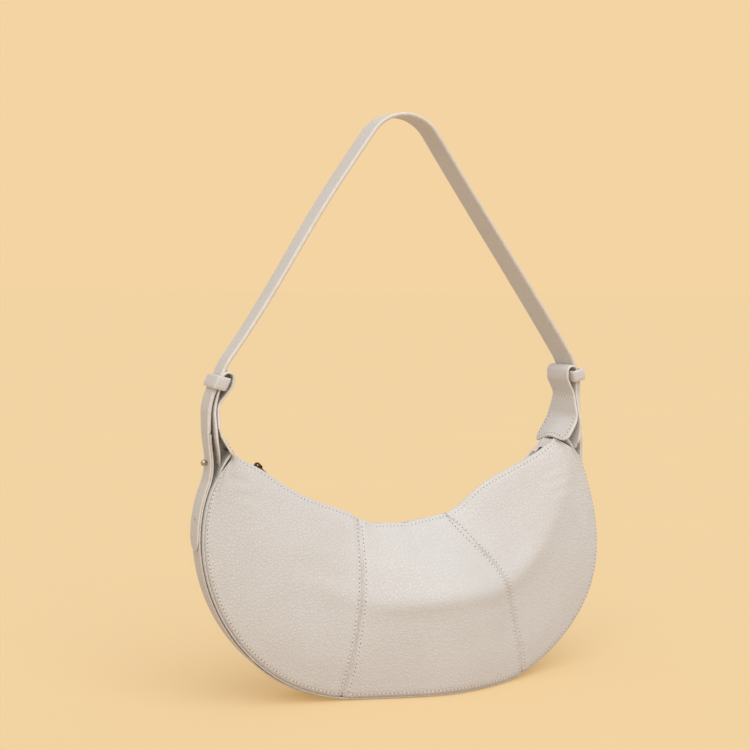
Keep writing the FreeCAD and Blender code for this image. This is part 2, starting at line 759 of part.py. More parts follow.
def strap_stud(name, side):
    """Make a ball stud: a ball on a neck that passes through both plies, bored for its screw."""
    body = new_body(name)
    neck, ball, bore = cell("stud_neck_radius"), cell("stud_ball_radius"), cell("stud_bore_radius")
    start = f"({STRAP_INNER} + {cell('strap_gap')})"
    bore_end = f"({STRAP_OUTER} + {cell('strap_gap')})"
    centre = f"({STRAP_OUTER} + {ball})"
    join = f"({centre} - sqrt({ball}^2 - {neck}^2))"
    revolved_about_x(body, "profile", [
        (start, bore), (bore_end, bore), (bore_end, "0"),
        (f"{centre} + {ball}", "0", centre, "0", ball), (join, neck), (start, neck),
    ])
    place_stud(body, side)


def stud_screw(name, side):
    """Make the screw that holds a stud: a slotted head on the strap's inner face, and a shank."""
    body = new_body(name)
    face = f"({STRAP_INNER} - {cell('layer_gap')} / 2)"
    head = f"({face} - {cell('screw_head_thick')})"
    end = STRAP_OUTER
    revolved_about_x(body, "profile", [
        (head, "0"), (end, "0"), (end, cell("screw_radius")), (face, cell("screw_radius")),
        (face, cell("screw_head_radius")), (head, cell("screw_head_radius")),
    ])
    slot = new_sketch(body, "slot", "XY_Plane")
    half = f"({cell('screw_slot')} / 2)"
    depth = f"({head} + {cell('screw_head_thick')} / 2)"
    outline(slot, [(f"{head} - {half}", f"-{half}"), (depth, f"-{half}"), (depth, half), (f"{head} - {half}", half)])
    cut_through(body, slot)
    place_stud(body, side)


# Ear tabs and keepers.


def fold_path(corners, radii):
    """Round the corners of a run of points: lines joined by tangent arcs, as edges of one path."""
    edges = []
    start = corners[0]
    for before, corner, after, radius in zip(corners, corners[1:], corners[2:], radii):
        back = (before - corner).normalize()
        ahead = (after - corner).normalize()
        half_turn = (math.pi - back.getAngle(ahead)) / 2
        reach = radius * math.tan(half_turn)
        entry, leave = corner + back * reach, corner + ahead * reach
        bisector = (back + ahead).normalize()
        middle = corner + bisector * (radius / math.cos(half_turn) - radius)
        if start.distanceToPoint(entry) > 1e-6:
            edges.append(Part.LineSegment(start, entry).toShape())
        edges.append(Part.Arc(entry, middle, leave).toShape())
        start = leave
    edges.append(Part.LineSegment(start, corners[-1]).toShape())
    return edges


TAB_FACE = (f"({SHOULDER_X} + sqrt({cell('shoulder_radius')}^2 - "
            f"({cell('tab_outer_end')} - {cell('corner_radius')})^2) + {cell('layer_gap')})")


def ear_tab(name, side):
    """Make an ear tab: a strip folded over at the top, one leg outside the corner and one inside it."""
    half = size("tab_thick") / 2
    leg = value(TAB_FACE) + half
    fold = size("tab_fold_radius")
    top = size("tab_fold_height") - half
    inner = leg - 2 * fold
    on_mouth = size("zip_radius") - size("layer_gap") - half
    waist = leg - size("tab_thick") - size("layer_gap")

    def mouth_point(angle):
        turn = math.radians(angle)
        return (on_mouth * math.sin(turn), value(MOUTH_CENTRE) - on_mouth * math.cos(turn))

    flat = [
        (leg, size("tab_outer_end")), (leg, top), (inner, top), (inner, top - 2.5 * fold),
        (waist, size("tab_waist_height")), mouth_point(size("tab_bend_angle")),
        mouth_point(size("tab_inner_angle")),
    ]
    radii = [fold, fold, size("tab_bend_radius"), size("tab_bend_radius"), size("tab_bend_radius")]
    path = [FreeCAD.Vector(side * x, 0, z) for x, z in flat]
    wide = size("tab_width") / 2
    neck = size("tab_neck_width") / 2
    profile = Part.makePolygon([FreeCAD.Vector(side * (leg + dx), dy, flat[0][1]) for dx, dy in (
        (-half, -wide), (half, -wide), (half, wide), (-half, wide), (-half, -wide))])
    strip = Part.Wire(fold_path(path, radii)).makePipeShell([profile], True, False, 1)
    flare = size("tab_flare_height")
    low = size("tab_outer_end") - half
    reach = size("tab_fold_height") + half
    round_by = size("tab_corner_radius")
    mask = side_mask(wide, neck, low, flare, reach, round_by)
    shape = strip.common(mask)
    tab = doc.addObject("Part::Feature", name)
    tab.Label = name
    tab.Shape = shape.removeSplitter()
    SUB_PARTS.append(tab)


def side_mask(wide, neck, low, flare, reach, round_by):
    """Make the tab's side outline as a slab: wide and rounded at the sewn ends, narrow at the fold."""
    mid = (low + flare) / 2
    edges = []
    points = [(-wide, low + round_by), (-wide, mid), (-neck, flare), (-neck, reach),
              (neck, reach), (neck, flare), (wide, mid), (wide, low + round_by)]
    vectors = [FreeCAD.Vector(0, y, z) for y, z in points]
    for start, end in zip(vectors, vectors[1:]):
        edges.append(Part.LineSegment(start, end).toShape())
    corner = round_by * (1 - math.sqrt(0.5))
    right = FreeCAD.Vector(0, wide - round_by, low)
    left = FreeCAD.Vector(0, round_by - wide, low)
    edges.append(Part.Arc(vectors[-1], FreeCAD.Vector(0, wide - corner, low + corner), right).toShape())
    edges.append(Part.LineSegment(right, left).toShape())
    edges.append(Part.Arc(left, FreeCAD.Vector(0, corner - wide, low + corner), vectors[0]).toShape())
    face = Part.Face(Part.Wire(edges))
    span = 2 * size("body_half_width")
    face.translate(FreeCAD.Vector(-span / 2 - size("tab_width"), 0, 0))
    return face.extrude(FreeCAD.Vector(span + 2 * size("tab_width"), 0, 0))


KEEPER_STRAP = (f"({BEND_X} + sqrt({cell('bend_radius')}^2 - "
                f"({cell('keeper_centre_height')} - {BEND_HEIGHT})^2))")


def strap_keeper(name, side):
    """Make a keeper: a flat leather ring round the tab's outer leg and the strap, tilted with the strap."""
    body = new_body(name)
    ring = new_sketch(body, "ring", "XY_Plane")
    tilt_room = f"({cell('keeper_height')} / 2 * tan({cell('keeper_tilt')}) + {cell('keeper_clear')})"
    deep = f"(({KEEPER_STRAP} - {TAB_FACE}) / 2 + {tilt_room})"
    across = f"({cell('tab_neck_width')} / 2 + {cell('keeper_clear')})"
    for grow in ("0", cell("keeper_wall")):
        x = f"({deep} + {grow})"
        y = f"({across} + {grow})"
        outline(ring, [(f"-{x}", f"-{y}"), (x, f"-{y}"), (x, y), (f"-{x}", y)])
    pad(body, ring, cell("keeper_height"))
    centre = value(f"({KEEPER_STRAP} + {TAB_FACE}) / 2")
    body.Placement = FreeCAD.Placement(
        FreeCAD.Vector(side * centre, 0, size("keeper_centre_height")),
        FreeCAD.Rotation(FreeCAD.Vector(0, 1, 0), -side * size("keeper_tilt")))


def check_and_write():
    """Refuse a failed document, then write each sub-part to its own file."""
    doc.recompute()
    for item in doc.Objects:
        if "Invalid" in item.State or "Error" in item.State:
            raise RuntimeError(f"{item.Name} failed: {item.State}")
    for part in SUB_PARTS:
        if part.Shape.isNull() or not part.Shape.isValid() or not part.Shape.Solids:
            raise RuntimeError(f"{part.Label} has no valid solid")
    os.makedirs("parts", exist_ok=True)
    for part in SUB_PARTS:
        part.Shape.exportStep(f"parts/{part.Label}.step")
        box = part.Shape.BoundBox
        print(f"{part.Label:20s} solids {len(part.Shape.Solids)} volume {part.Shape.Volume:9.1f} "
              f"x {box.XMin:7.1f} {box.XMax:7.1f} y {box.YMin:6.1f} {box.YMax:6.1f} z {box.ZMin:6.1f} {box.ZMax:6.1f}")


gusset_base()
crescent_panels()
lining()
zip_side("front", "-1")
zip_side("back", "1")
zip_slider()
zip_pull()
shoulder_strap()
for word, way in (("left", -1), ("right", 1)):
    gusset_side(f"gusset_{word}", way)
    zip_stop(f"zip_stop_{word}", way)
    strap_tail(f"strap_tail_{word}", way)
    side_strap(f"side_strap_{word}", way)
    strap_stud(f"strap_stud_{word}", way)
    stud_screw(f"stud_screw_{word}", way)
    ear_tab(f"ear_tab_{word}", way)
    strap_keeper(f"strap_keeper_{word}", way)
check_and_write()
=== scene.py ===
# %% [markdown]
# # A half moon bag
# The bag is a crescent of soft, pebbled leather: three panels in front, three behind, a gusset
# strip between them, a zip in the curved mouth, two folded ear tabs and an arched shoulder strap.
# The rigid model is loaded first as a fixed frame. Its hard parts stay where they are, and the
# soft pieces are formed round them as the photograph shows them. All lengths below are written
# in millimetres, as on a maker's pattern, and turned into Blender's metres in one place.

# %% Load the frame
import math

import bpy
import numpy as np
from mathutils import Matrix, Vector


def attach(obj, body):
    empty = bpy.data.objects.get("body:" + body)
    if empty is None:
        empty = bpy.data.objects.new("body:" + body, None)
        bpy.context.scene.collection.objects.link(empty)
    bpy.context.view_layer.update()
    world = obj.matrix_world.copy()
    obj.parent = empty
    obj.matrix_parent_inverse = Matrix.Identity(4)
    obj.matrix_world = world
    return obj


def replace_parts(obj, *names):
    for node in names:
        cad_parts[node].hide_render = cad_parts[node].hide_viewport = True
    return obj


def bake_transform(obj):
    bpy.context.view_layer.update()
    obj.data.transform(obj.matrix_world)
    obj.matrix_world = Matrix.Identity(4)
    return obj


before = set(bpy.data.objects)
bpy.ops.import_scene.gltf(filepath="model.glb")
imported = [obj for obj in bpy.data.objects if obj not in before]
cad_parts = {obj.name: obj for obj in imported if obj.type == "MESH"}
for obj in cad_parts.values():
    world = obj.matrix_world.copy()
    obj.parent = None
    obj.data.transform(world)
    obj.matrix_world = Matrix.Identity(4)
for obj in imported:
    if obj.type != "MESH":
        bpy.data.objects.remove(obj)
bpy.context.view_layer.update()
bpy.ops.object.select_all(action="DESELECT")
MM = 0.001
print("frame nodes:", len(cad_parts))

# %% [markdown]
# ## The pattern's sizes
# A bag maker works from a paper pattern. These are the measures of this one: the mouth is an
# arc about a centre high above the bag, and the outline is a flat base, two round corners and
# two long shoulders that lean in to the ears. The zip's own arc is a little tighter than the
# lips'. A soft bag doesn't stand straight, so `stand` lets every soft piece lean and spread.

# %% Pattern sizes
MOUTH_RADIUS = 212.0
MOUTH_CENTRE = 351.0
ZIP_RADIUS = 200.0
ZIP_CENTRE = 338.0
HALF_WIDTH = 184.0
CORNER = 126.0
SHOULDER = 130.0
EAR_HEIGHT = 206.0
STUD_HEIGHT = 197.0
GUSSET_END = 17.0
GUSSET_SWELL = 30.0
GUSSET_FULLEST, GUSSET_FADE = 18.0, 78.0
BELLY = 16.0
LIP_RISE = 10.5
LEATHER = 1.8
SEAM_ANGLE = math.radians(12.5)
BASE_SEAM = math.radians(18.0)
BASE_SLUMP, EAR_SLUMP, TOP_SLUMP = 12.0, 15.0, 5.0
STUD_HOLD, EAR_LEAN, CORNER_SPREAD = 2.6, 6.5, 5.0
TURN_HEIGHTS = (0, 150, 206, 240, 300)
TURN_RATES = (0.0007, 0.0008, 0.0011, 0.0007, 0.0008)
SIDES = ((-1, "left"), (1, "right"))
WALLS = (("front", -1.0), ("back", 1.0))
EAR_X = HALF_WIDTH - SHOULDER + math.sqrt(SHOULDER ** 2 - (EAR_HEIGHT - CORNER) ** 2)
EAR_ANGLE = math.atan2(EAR_X, MOUTH_CENTRE - EAR_HEIGHT)
PANEL_END = EAR_ANGLE - math.radians(1.2)
print("ear at", round(EAR_X, 1), "mm, panels end at", round(math.degrees(PANEL_END), 1), "degrees")


def bell(value, centre, width):
    """Give a smooth bump that is one at its centre and fades over a width."""
    return np.exp(-((value - centre) / width) ** 2)


def outline_radius(angle):
    """Measure from the mouth's centre to the bag's outline, at an angle from straight down."""
    sine, cosine = math.sin(abs(angle)), math.cos(angle)
    flat = HALF_WIDTH - CORNER
    if MOUTH_CENTRE * math.tan(abs(angle)) <= flat:
        return MOUTH_CENTRE / cosine

    def reach(centre_x, radius):
        along = -centre_x * sine - (MOUTH_CENTRE - CORNER) * cosine
        square = centre_x ** 2 + (MOUTH_CENTRE - CORNER) ** 2
        return -along + math.sqrt(along ** 2 - square + radius ** 2)

    radius = reach(HALF_WIDTH - SHOULDER, SHOULDER)
    if MOUTH_CENTRE - radius * cosine < CORNER:
        radius = reach(flat, CORNER)
    return radius


def gusset_half(x):
    """Give half the gusset's width at a place across the bag: full in the middle, narrow at the ends."""
    return GUSSET_END + GUSSET_SWELL * bell(x, GUSSET_FULLEST, GUSSET_FADE)


def outline_x(height):
    """Give how far the shoulder's outline stands from the middle, above the corner."""
    return HALF_WIDTH - SHOULDER + np.sqrt(SHOULDER ** 2 - (height - CORNER) ** 2)


def smooth_step(value):
    """Rise smoothly from nought to one."""
    part = np.clip(value, 0, 1)
    return part * part * (3 - 2 * part)


def stand(points):
    """Let a piece stand as photographed: slumped aside, ends turned back, left ear leaning in."""
    x, y, z = points[..., 0], points[..., 1], points[..., 2]
    slump = BASE_SLUMP - EAR_SLUMP * smooth_step(z / 215) - TOP_SLUMP * smooth_step((z - 280) / 190)
    hold = STUD_HOLD * bell(z, STUD_HEIGHT, 16) * smooth_step((np.abs(x) - 164) / 6)
    turn = np.interp(z, TURN_HEIGHTS, TURN_RATES)
    lean = EAR_LEAN * smooth_step((z - 235) / 35) * (1 - smooth_step((z - 290) / 130)) * (x < 0)
    spread = CORNER_SPREAD * smooth_step(x / 110) * (1 - smooth_step((z - 60) / 110))
    return np.stack([x * (1 - turn * y) + slump + hold + lean + spread, y, z], axis=-1)


# %% [markdown]
# A maker measures along the leather with a tape. These helpers do the same: the length along a
# row of points, the points at given lengths, and a place on the fan of lines that spreads from
# the mouth's centre.

# %% Measuring helpers
def run_length(points):
    """Give the length along a row of points, at each point."""
    steps = np.linalg.norm(np.diff(points, axis=0), axis=1)
    return np.concatenate([[0], np.cumsum(steps)])


def read_along(places, length, points):
    """Read a row of points at given places along its length."""
    return np.stack([np.interp(places, length, column) for column in points.T], axis=1)


def even_steps(line, step):
    """Space a line's points evenly, about a step apart, and give their places along it too."""
    length = run_length(line)
    places = np.linspace(0, length[-1], int(length[-1] / step) + 1)
    return read_along(places, length, line), places


def unit(rows):
    """Scale each direction to length one."""
    return rows / np.linalg.norm(rows, axis=-1, keepdims=True)


def on_fan(radius, angle, across, centre=MOUTH_CENTRE):
    """Place points by their distance and angle from the mouth's centre, and how far across they are."""
    spots = np.broadcast_arrays(radius * np.sin(angle), across, centre - radius * np.cos(angle))
    return np.stack(spots, axis=-1)


# %% [markdown]
# ## Forming leather
# Leather goods start flat. Each piece here starts as Blender's flat grid, the blank, and every
# point of it is then laid on the shape it is sewn to, the way wet leather is formed on a last.
# A closed piece such as a strap is a blank rolled into a tube, with the long edges merged and
# the two ends filled. Extruding by hand would give the same mesh with many more steps.

# %% Blank and forming helpers
def add_blank(name, around, along):
    """Add a flat grid with the given number of faces each way."""
    bpy.ops.object.select_all(action="DESELECT")
    bpy.ops.mesh.primitive_grid_add(x_subdivisions=around, y_subdivisions=along, size=1)
    blank = bpy.context.object
    blank.name = name
    blank.data.name = name
    return blank


def read_points(mesh):
    """Read a mesh's points as an array of rows."""
    rows = np.empty(len(mesh.vertices) * 3)
    mesh.vertices.foreach_get("co", rows)
    return rows.reshape(-1, 3)


def pick(piece):
    """Select one piece alone and make it the active one."""
    bpy.ops.object.select_all(action="DESELECT")
    piece.select_set(True)
    bpy.context.view_layer.objects.active = piece


def edit(piece, *steps):
    """Run edit mode steps on a whole piece, each given as an operator and its settings."""
    pick(piece)
    bpy.ops.object.mode_set(mode="EDIT")
    bpy.ops.mesh.select_all(action="SELECT")
    for operator, settings in steps:
        operator(**settings)
    bpy.ops.object.mode_set(mode="OBJECT")


def form(name, shape, painted=None):
    """Lay a blank on points (around, along, xyz) in millimetres; painted tells which strips are edge."""
    around, along = shape.shape[0] - 1, shape.shape[1] - 1
    blank = add_blank(name, around, along)
    flat = read_points(blank.data)
    across = np.rint((flat[:, 0] + 0.5) * around).astype(int)
    length = np.rint((flat[:, 1] + 0.5) * along).astype(int)
    if painted is not None:
        for face in blank.data.polygons:
            strip = int((face.center.x + 0.5) * around)
            face.material_index = 1 if painted[strip] else 0
    blank.data.vertices.foreach_set("co", (stand(shape)[across, length] * MM).ravel())
    blank.data.update()
    return blank


def close_tube(piece, ring=False):
    """Merge a rolled blank along its edge, fill its ends and point its faces outwards."""
    edit(piece, (bpy.ops.mesh.remove_doubles, {"threshold": 2e-6}))
    if not ring:
        edit(piece, (bpy.ops.mesh.select_all, {"action": "DESELECT"}),
             (bpy.ops.mesh.select_non_manifold, {}), (bpy.ops.mesh.fill_holes, {"sides": 0}))
    edit(piece, (bpy.ops.mesh.normals_make_consistent, {"inside": False}))
    smooth(piece)
    return piece


def smooth(piece, angle=50):
    """Shade a piece smooth, but keep its sharp corners."""
    pick(piece)
    bpy.ops.object.shade_smooth_by_angle(angle=math.radians(angle))


def finish_piece(piece, body, slot, *finishes):
    """Give a piece its materials and its body. The slot is not used."""
    for finish in finishes:
        piece.data.materials.append(finish)
    if body:
        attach(piece, body)
    print(piece.name, "faces", len(piece.data.polygons))
    return piece


# %% [markdown]
# ## Finishes
# Every finish is made of nodes, so it holds at any distance. The leather's pebbles are a cell
# pattern with soft creases between the cells. The creases are rougher than the tops and are
# painted a little darker, which is painted shade in the hollows, and a slow cloudy pattern keeps
# the colour from being flat. An image would do it too, but it would need unwrapping and would
# repeat.

# %% Node helpers
def new_finish(name):
    """Start a material and give back its nodes, links and shader."""
    finish = bpy.data.materials.new(name)
    finish.use_nodes = True
    tree = finish.node_tree
    return finish, tree.nodes, tree.links, tree.nodes["Principled BSDF"]


def add_node(nodes, kind, **settings):
    """Add a node and set its properties and the inputs named with a leading capital."""
    node = nodes.new(kind)
    for name, value in settings.items():
        if name[0].isupper():
            node.inputs[name.replace("_", " ")].default_value = value
        else:
            setattr(node, name, value)
    return node


def texture(nodes, links, place, kind, **settings):
    """Add a pattern that reads the given coordinates."""
    node = add_node(nodes, kind, **settings)
    links.new(place, node.inputs["Vector"])
    return node


def relief_from(nodes, links, height, strength, distance=0.0002):
    """Turn a height into relief on the surface."""
    node = add_node(nodes, "ShaderNodeBump", Strength=strength, Distance=distance)
    links.new(height, node.inputs["Height"])
    return node


def grey(value):
    """Give a plain value as a colour."""
    return (value, value, value, 1.0)


def srgb(red, green, blue):
    """Turn a screen colour from 0 to 255 into the light values that Blender works in."""
    def light(value):
        part = value / 255
        return part / 12.92 if part <= 0.04045 else ((part + 0.055) / 1.055) ** 2.4
    return (light(red), light(green), light(blue), 1.0)


def ramp(nodes, links, source, stops):
    """Put a colour ramp after a value, with (place, colour) stops."""
    node = nodes.new("ShaderNodeValToRGB")
    elements = node.color_ramp.elements
    while len(elements) < len(stops):
        elements.new(0.5)
    for element, (place, colour) in zip(elements, stops):
        element.position = place
        element.color = colour
    links.new(source, node.inputs["Fac"])
    return node


def mix(nodes, links, kind, factor, first, second):
    """Mix two colours; each may be a colour or a socket."""
    node = nodes.new("ShaderNodeMix")
    node.data_type = "RGBA"
    node.blend_type = kind
    sockets = (node.inputs["Factor"], node.inputs[6], node.inputs[7])
    for socket, value in zip(sockets, (factor, first, second)):
        if isinstance(value, (float, tuple)):
            socket.default_value = value
        else:
            links.new(value, socket)
    return node.outputs[2]


# %% [markdown]
# Pebbled leather is one recipe used twice: a deeper grain for the bag's soft hide, and a finer,
# flatter one for the straps, tabs and keepers, which are cut from firmer hide.

# %% Leather finish
def pebbled_leather(name, top, crease, grain, depth):
    """Make pebbled leather with painted shade in the creases between the pebbles and a slow cloudy tone."""
    finish, nodes, links, shader = new_finish(name)
    place = nodes.new("ShaderNodeTexCoord").outputs["Object"]
    wander = texture(nodes, links, place, "ShaderNodeTexNoise", Scale=120.0, Detail=2.0)
    shift = add_node(nodes, "ShaderNodeVectorMath", operation="MULTIPLY_ADD")
    shift.inputs[1].default_value = (0.0016, 0.0016, 0.0016)
    links.new(wander.outputs["Color"], shift.inputs[0])
    links.new(place, shift.inputs[2])
    cells = texture(nodes, links, shift.outputs["Vector"], "ShaderNodeTexVoronoi",
                    feature="DISTANCE_TO_EDGE", Scale=grain)
    pebble = ramp(nodes, links, cells.outputs["Distance"],
                  [(0.0, grey(0.0)), (0.10, grey(0.72)), (0.30, grey(1.0))])
    fine = texture(nodes, links, place, "ShaderNodeTexNoise", Scale=1900.0, Detail=3.0)
    cloud = texture(nodes, links, place, "ShaderNodeTexNoise", Scale=16.0, Detail=3.0)
    # The crease colour is painted shade: the hollows between pebbles are darkened where shade falls.
    tone = mix(nodes, links, "MIX", pebble.outputs["Color"], crease, top)
    veil = ramp(nodes, links, cloud.outputs["Fac"],
                [(0.3, (0.955, 0.945, 0.935, 1)), (0.7, (1.0, 1.0, 1.0, 1))])
    links.new(mix(nodes, links, "MULTIPLY", 1.0, tone, veil.outputs["Color"]), shader.inputs["Base Color"])
    gloss = ramp(nodes, links, pebble.outputs["Color"],
                 [(0.0, grey(0.66)), (1.0, grey(0.47))])
    links.new(gloss.outputs["Color"], shader.inputs["Roughness"])
    pores = relief_from(nodes, links, fine.outputs["Fac"], 0.10)
    relief = relief_from(nodes, links, pebble.outputs["Color"], depth, 0.0005)
    links.new(pores.outputs["Normal"], relief.inputs["Normal"])
    links.new(relief.outputs["Normal"], shader.inputs["Normal"])
    shader.inputs["Specular IOR Level"].default_value = 0.35
    shader.inputs["Sheen Weight"].default_value = 0.06
    return finish


# Each leather's second colour is painted shade for the creases between its pebbles.
cream_leather = pebbled_leather("cream_leather", srgb(222, 219, 217), srgb(217, 213, 210), 350.0, 0.42)
strap_leather = pebbled_leather("strap_leather", srgb(223, 219, 216), srgb(215, 210, 206), 400.0, 0.20)
print("leather finishes ready")

# %% [markdown]
# The other finishes are small cousins of the leather: a painted edge that is smoother and
# paler than the hide, a twisted thread, a dark brown painted shade for the inside of a needle
# hole, two woven cloths and two metals. The weave is two wave patterns at right angles. The
# metals carry fine scratches in their roughness, because a perfectly even metal looks like plastic.

# %% Edge, thread, cloth and metal finishes
def clouded(name, dark, light, scale, rough, bump, metallic=0.0):
    """Make a finish whose tone, gloss and height all wander with one noise."""
    finish, nodes, links, shader = new_finish(name)
    place = nodes.new("ShaderNodeTexCoord").outputs["Object"]
    noise = texture(nodes, links, place, "ShaderNodeTexNoise", Scale=scale, Detail=5.0)
    tone = ramp(nodes, links, noise.outputs["Fac"], [(0.3, dark), (0.7, light)])
    links.new(tone.outputs["Color"], shader.inputs["Base Color"])
    gloss = ramp(nodes, links, noise.outputs["Fac"], [(0.3, grey(rough[0])), (0.7, grey(rough[1]))])
    links.new(gloss.outputs["Color"], shader.inputs["Roughness"])
    relief = relief_from(nodes, links, noise.outputs["Fac"], bump)
    links.new(relief.outputs["Normal"], shader.inputs["Normal"])
    shader.inputs["Metallic"].default_value = metallic
    return finish


def woven(name, dark, light, threads):
    """Make a plain weave: two sets of waves at right angles."""
    finish, nodes, links, shader = new_finish(name)
    place = nodes.new("ShaderNodeTexCoord").outputs["Object"]
    sets = []
    for axis in ("X", "Y"):
        wave = texture(nodes, links, place, "ShaderNodeTexWave", Scale=threads, Distortion=0.6,
                       bands_direction=axis)
        sets.append(wave.outputs["Fac"])
    weave = add_node(nodes, "ShaderNodeMath", operation="MULTIPLY")
    links.new(sets[0], weave.inputs[0])
    links.new(sets[1], weave.inputs[1])
    tone = ramp(nodes, links, weave.outputs["Value"], [(0.0, dark), (0.6, light)])
    links.new(tone.outputs["Color"], shader.inputs["Base Color"])
    relief = relief_from(nodes, links, weave.outputs["Value"], 0.4)
    links.new(relief.outputs["Normal"], shader.inputs["Normal"])
    shader.inputs["Roughness"].default_value = 0.85
    shader.inputs["Sheen Weight"].default_value = 0.15
    return finish


edge_paint = clouded("edge_paint", srgb(222, 214, 205), srgb(234, 227, 219), 300.0, (0.38, 0.5), 0.1)
cream_thread = clouded("cream_thread", srgb(226, 219, 211), srgb(240, 235, 229), 1500.0, (0.6, 0.75), 0.3)
# The needle hole finish is painted shade: the dark inside of a hole, laid on a flat disc.
painted_hole_shade = clouded("painted_hole_shade", srgb(80, 66, 56), srgb(104, 90, 78), 900.0, (0.8, 0.9), 0.1)
lining_cloth = woven("lining_cloth", srgb(150, 136, 120), srgb(178, 164, 148), 700.0)
zip_cloth = woven("zip_cloth", srgb(168, 156, 144), srgb(196, 186, 176), 900.0)
gunmetal = clouded("gunmetal", srgb(52, 48, 45), srgb(88, 83, 78), 900.0, (0.28, 0.42), 0.08, 1.0)
nickel = clouded("nickel", srgb(182, 172, 160), srgb(212, 204, 194), 700.0, (0.22, 0.36), 0.05, 1.0)
print("small finishes ready")

# %% [markdown]
# ## Stitches
# A stitch is a short, round ended length of thread that dips into a needle hole at each end.
# One is modelled from a small sphere drawn out along its length, with a flat dark disc of
# painted shade for the inside of the needle hole, and copied along each row. The rows are read
# from the leather's own points, so they lie on it. Drawing them into the colour would be quicker,
# but they would vanish in a side view.

# %% Stitch and sewing helper
def small_solid(name, stretch, segments, rings):
    """Model a small sphere stretched to size, and give its points and faces."""
    bpy.ops.object.select_all(action="DESELECT")
    bpy.ops.mesh.primitive_uv_sphere_add(segments=segments, ring_count=rings, radius=1)
    seed = bpy.context.object
    seed.name = name
    edit(seed, (bpy.ops.transform.resize, {"value": stretch}))
    points = read_points(seed.data)
    faces = [list(face.vertices) for face in seed.data.polygons]
    bpy.data.objects.remove(seed)
    return points, faces


THREAD = small_solid("thread_seed", (1.3, 0.46, 0.38), 8, 4)
# The hole's disc carries painted shade, standing for the shadow inside a needle hole.
HOLE_SHADE_DISC = small_solid("hole_shade_seed", (0.50, 0.50, 0.20), 6, 3)


def along_row(points, pitch, margin):
    """Give evenly spaced places along a row of points, with the direction at each."""
    length = run_length(points)
    count = max(int((length[-1] - 2 * margin) / pitch), 1)
    places = margin + (np.arange(count) + 0.5) * (length[-1] - 2 * margin) / count
    way = read_along(places + 0.5, length, points) - read_along(places - 0.5, length, points)
    return read_along(places, length, points), unit(way), places, length


def sew(name, rows, body, pitch=3.4, margin=2.0):
    """Sew rows of stitches; each row is (points, normals) read from the leather."""
    points, faces, kinds, count = [], [], [], 0
    for row, normals in rows:
        spots, way, places, length = along_row(stand(row), pitch, margin)
        up = unit(read_along(places, length, normals))
        aside = np.cross(up, way)
        # Kind 1 is the dark disc of painted shade at each needle hole.
        for solid, offset, kind in ((THREAD, 0.0, 0), (HOLE_SHADE_DISC, pitch / 2, 1)):
            for spot, x, y, z in zip(spots, way, aside, up):
                base = spot + x * offset - z * 0.02
                points.append(base + solid[0] @ np.stack([x, y, z]))
                faces.extend([[k + count for k in face] for face in solid[1]])
                kinds.extend([kind] * len(solid[1]))
                count += len(solid[0])
    mesh = bpy.data.meshes.new(name)
    mesh.from_pydata((np.concatenate(points) * MM).tolist(), [], faces)
    mesh.polygons.foreach_set("material_index", kinds)
    mesh.polygons.foreach_set("use_smooth", [True] * len(faces))
    piece = bpy.data.objects.new(name, mesh)
    bpy.context.scene.collection.objects.link(piece)
    return finish_piece(piece, body, "leather_cream", cream_thread, painted_hole_shade)


# %% [markdown]
# ## The crescent panels
# Front and back are three panels each, and together they are the soft shell of the bag. In
# each radial plane from the mouth's centre the leather runs from a turned lip by the zip, down
# a slope to the belly and under to the gusset seam. The lofted section is the pattern's, and
# on top of it comes what soft leather does: a full fold under the slope, a roll at every seam,
# a shallow channel under every stitch row and a few creases near the ears.

# %% Panel section
LIP_HALF = 6.6
LIP_FOLD = 1.4
SEAM_TURN = 2.0
LIP_STEPS = (0.0, 0.7, 1.5, 2.3, 3.0, 3.7, 4.6, 6.0, 8.5, 12.0)
SEAM_STEPS = (12.0, 8.5, 6.0, 4.6, 3.9, 3.2, 2.5, 1.7, 0.9, 0.0)
MIDDLE_STEPS = 44
CURVE_STEPS = 240
SHORT_RUN = 30.0
BELLY_PLACE = 0.52
FOLD_TURNS = np.radians([165, 135, 105, 80, 55, 28])
SEAM_TURNS = np.radians([25, 50, 75, 95])
INNER_STEPS = 14
LIP_SAGS = ((-85, 36, 4.5), (95, 42, -3.0), (-34, 20, 5.5), (46, 22, 5.5), (-132, 16, -2.5))


def lip_radius(angle, front):
    """Give the lip's distance from the mouth's centre: slumped in places, and lower behind."""
    x = MOUTH_RADIUS * math.sin(angle)
    along = min(abs(angle) / PANEL_END, 1.0)
    sag = sum(depth * bell(x, place, width) for place, width, depth in LIP_SAGS)
    if not front:
        sag += (2.0 + 6.0 * bell(x, 90, 55)) * (1 - smooth_step((along - 0.9) / 0.1))
    return MOUTH_RADIUS - LIP_RISE * math.sin(math.pi * along) ** 1.2 + sag


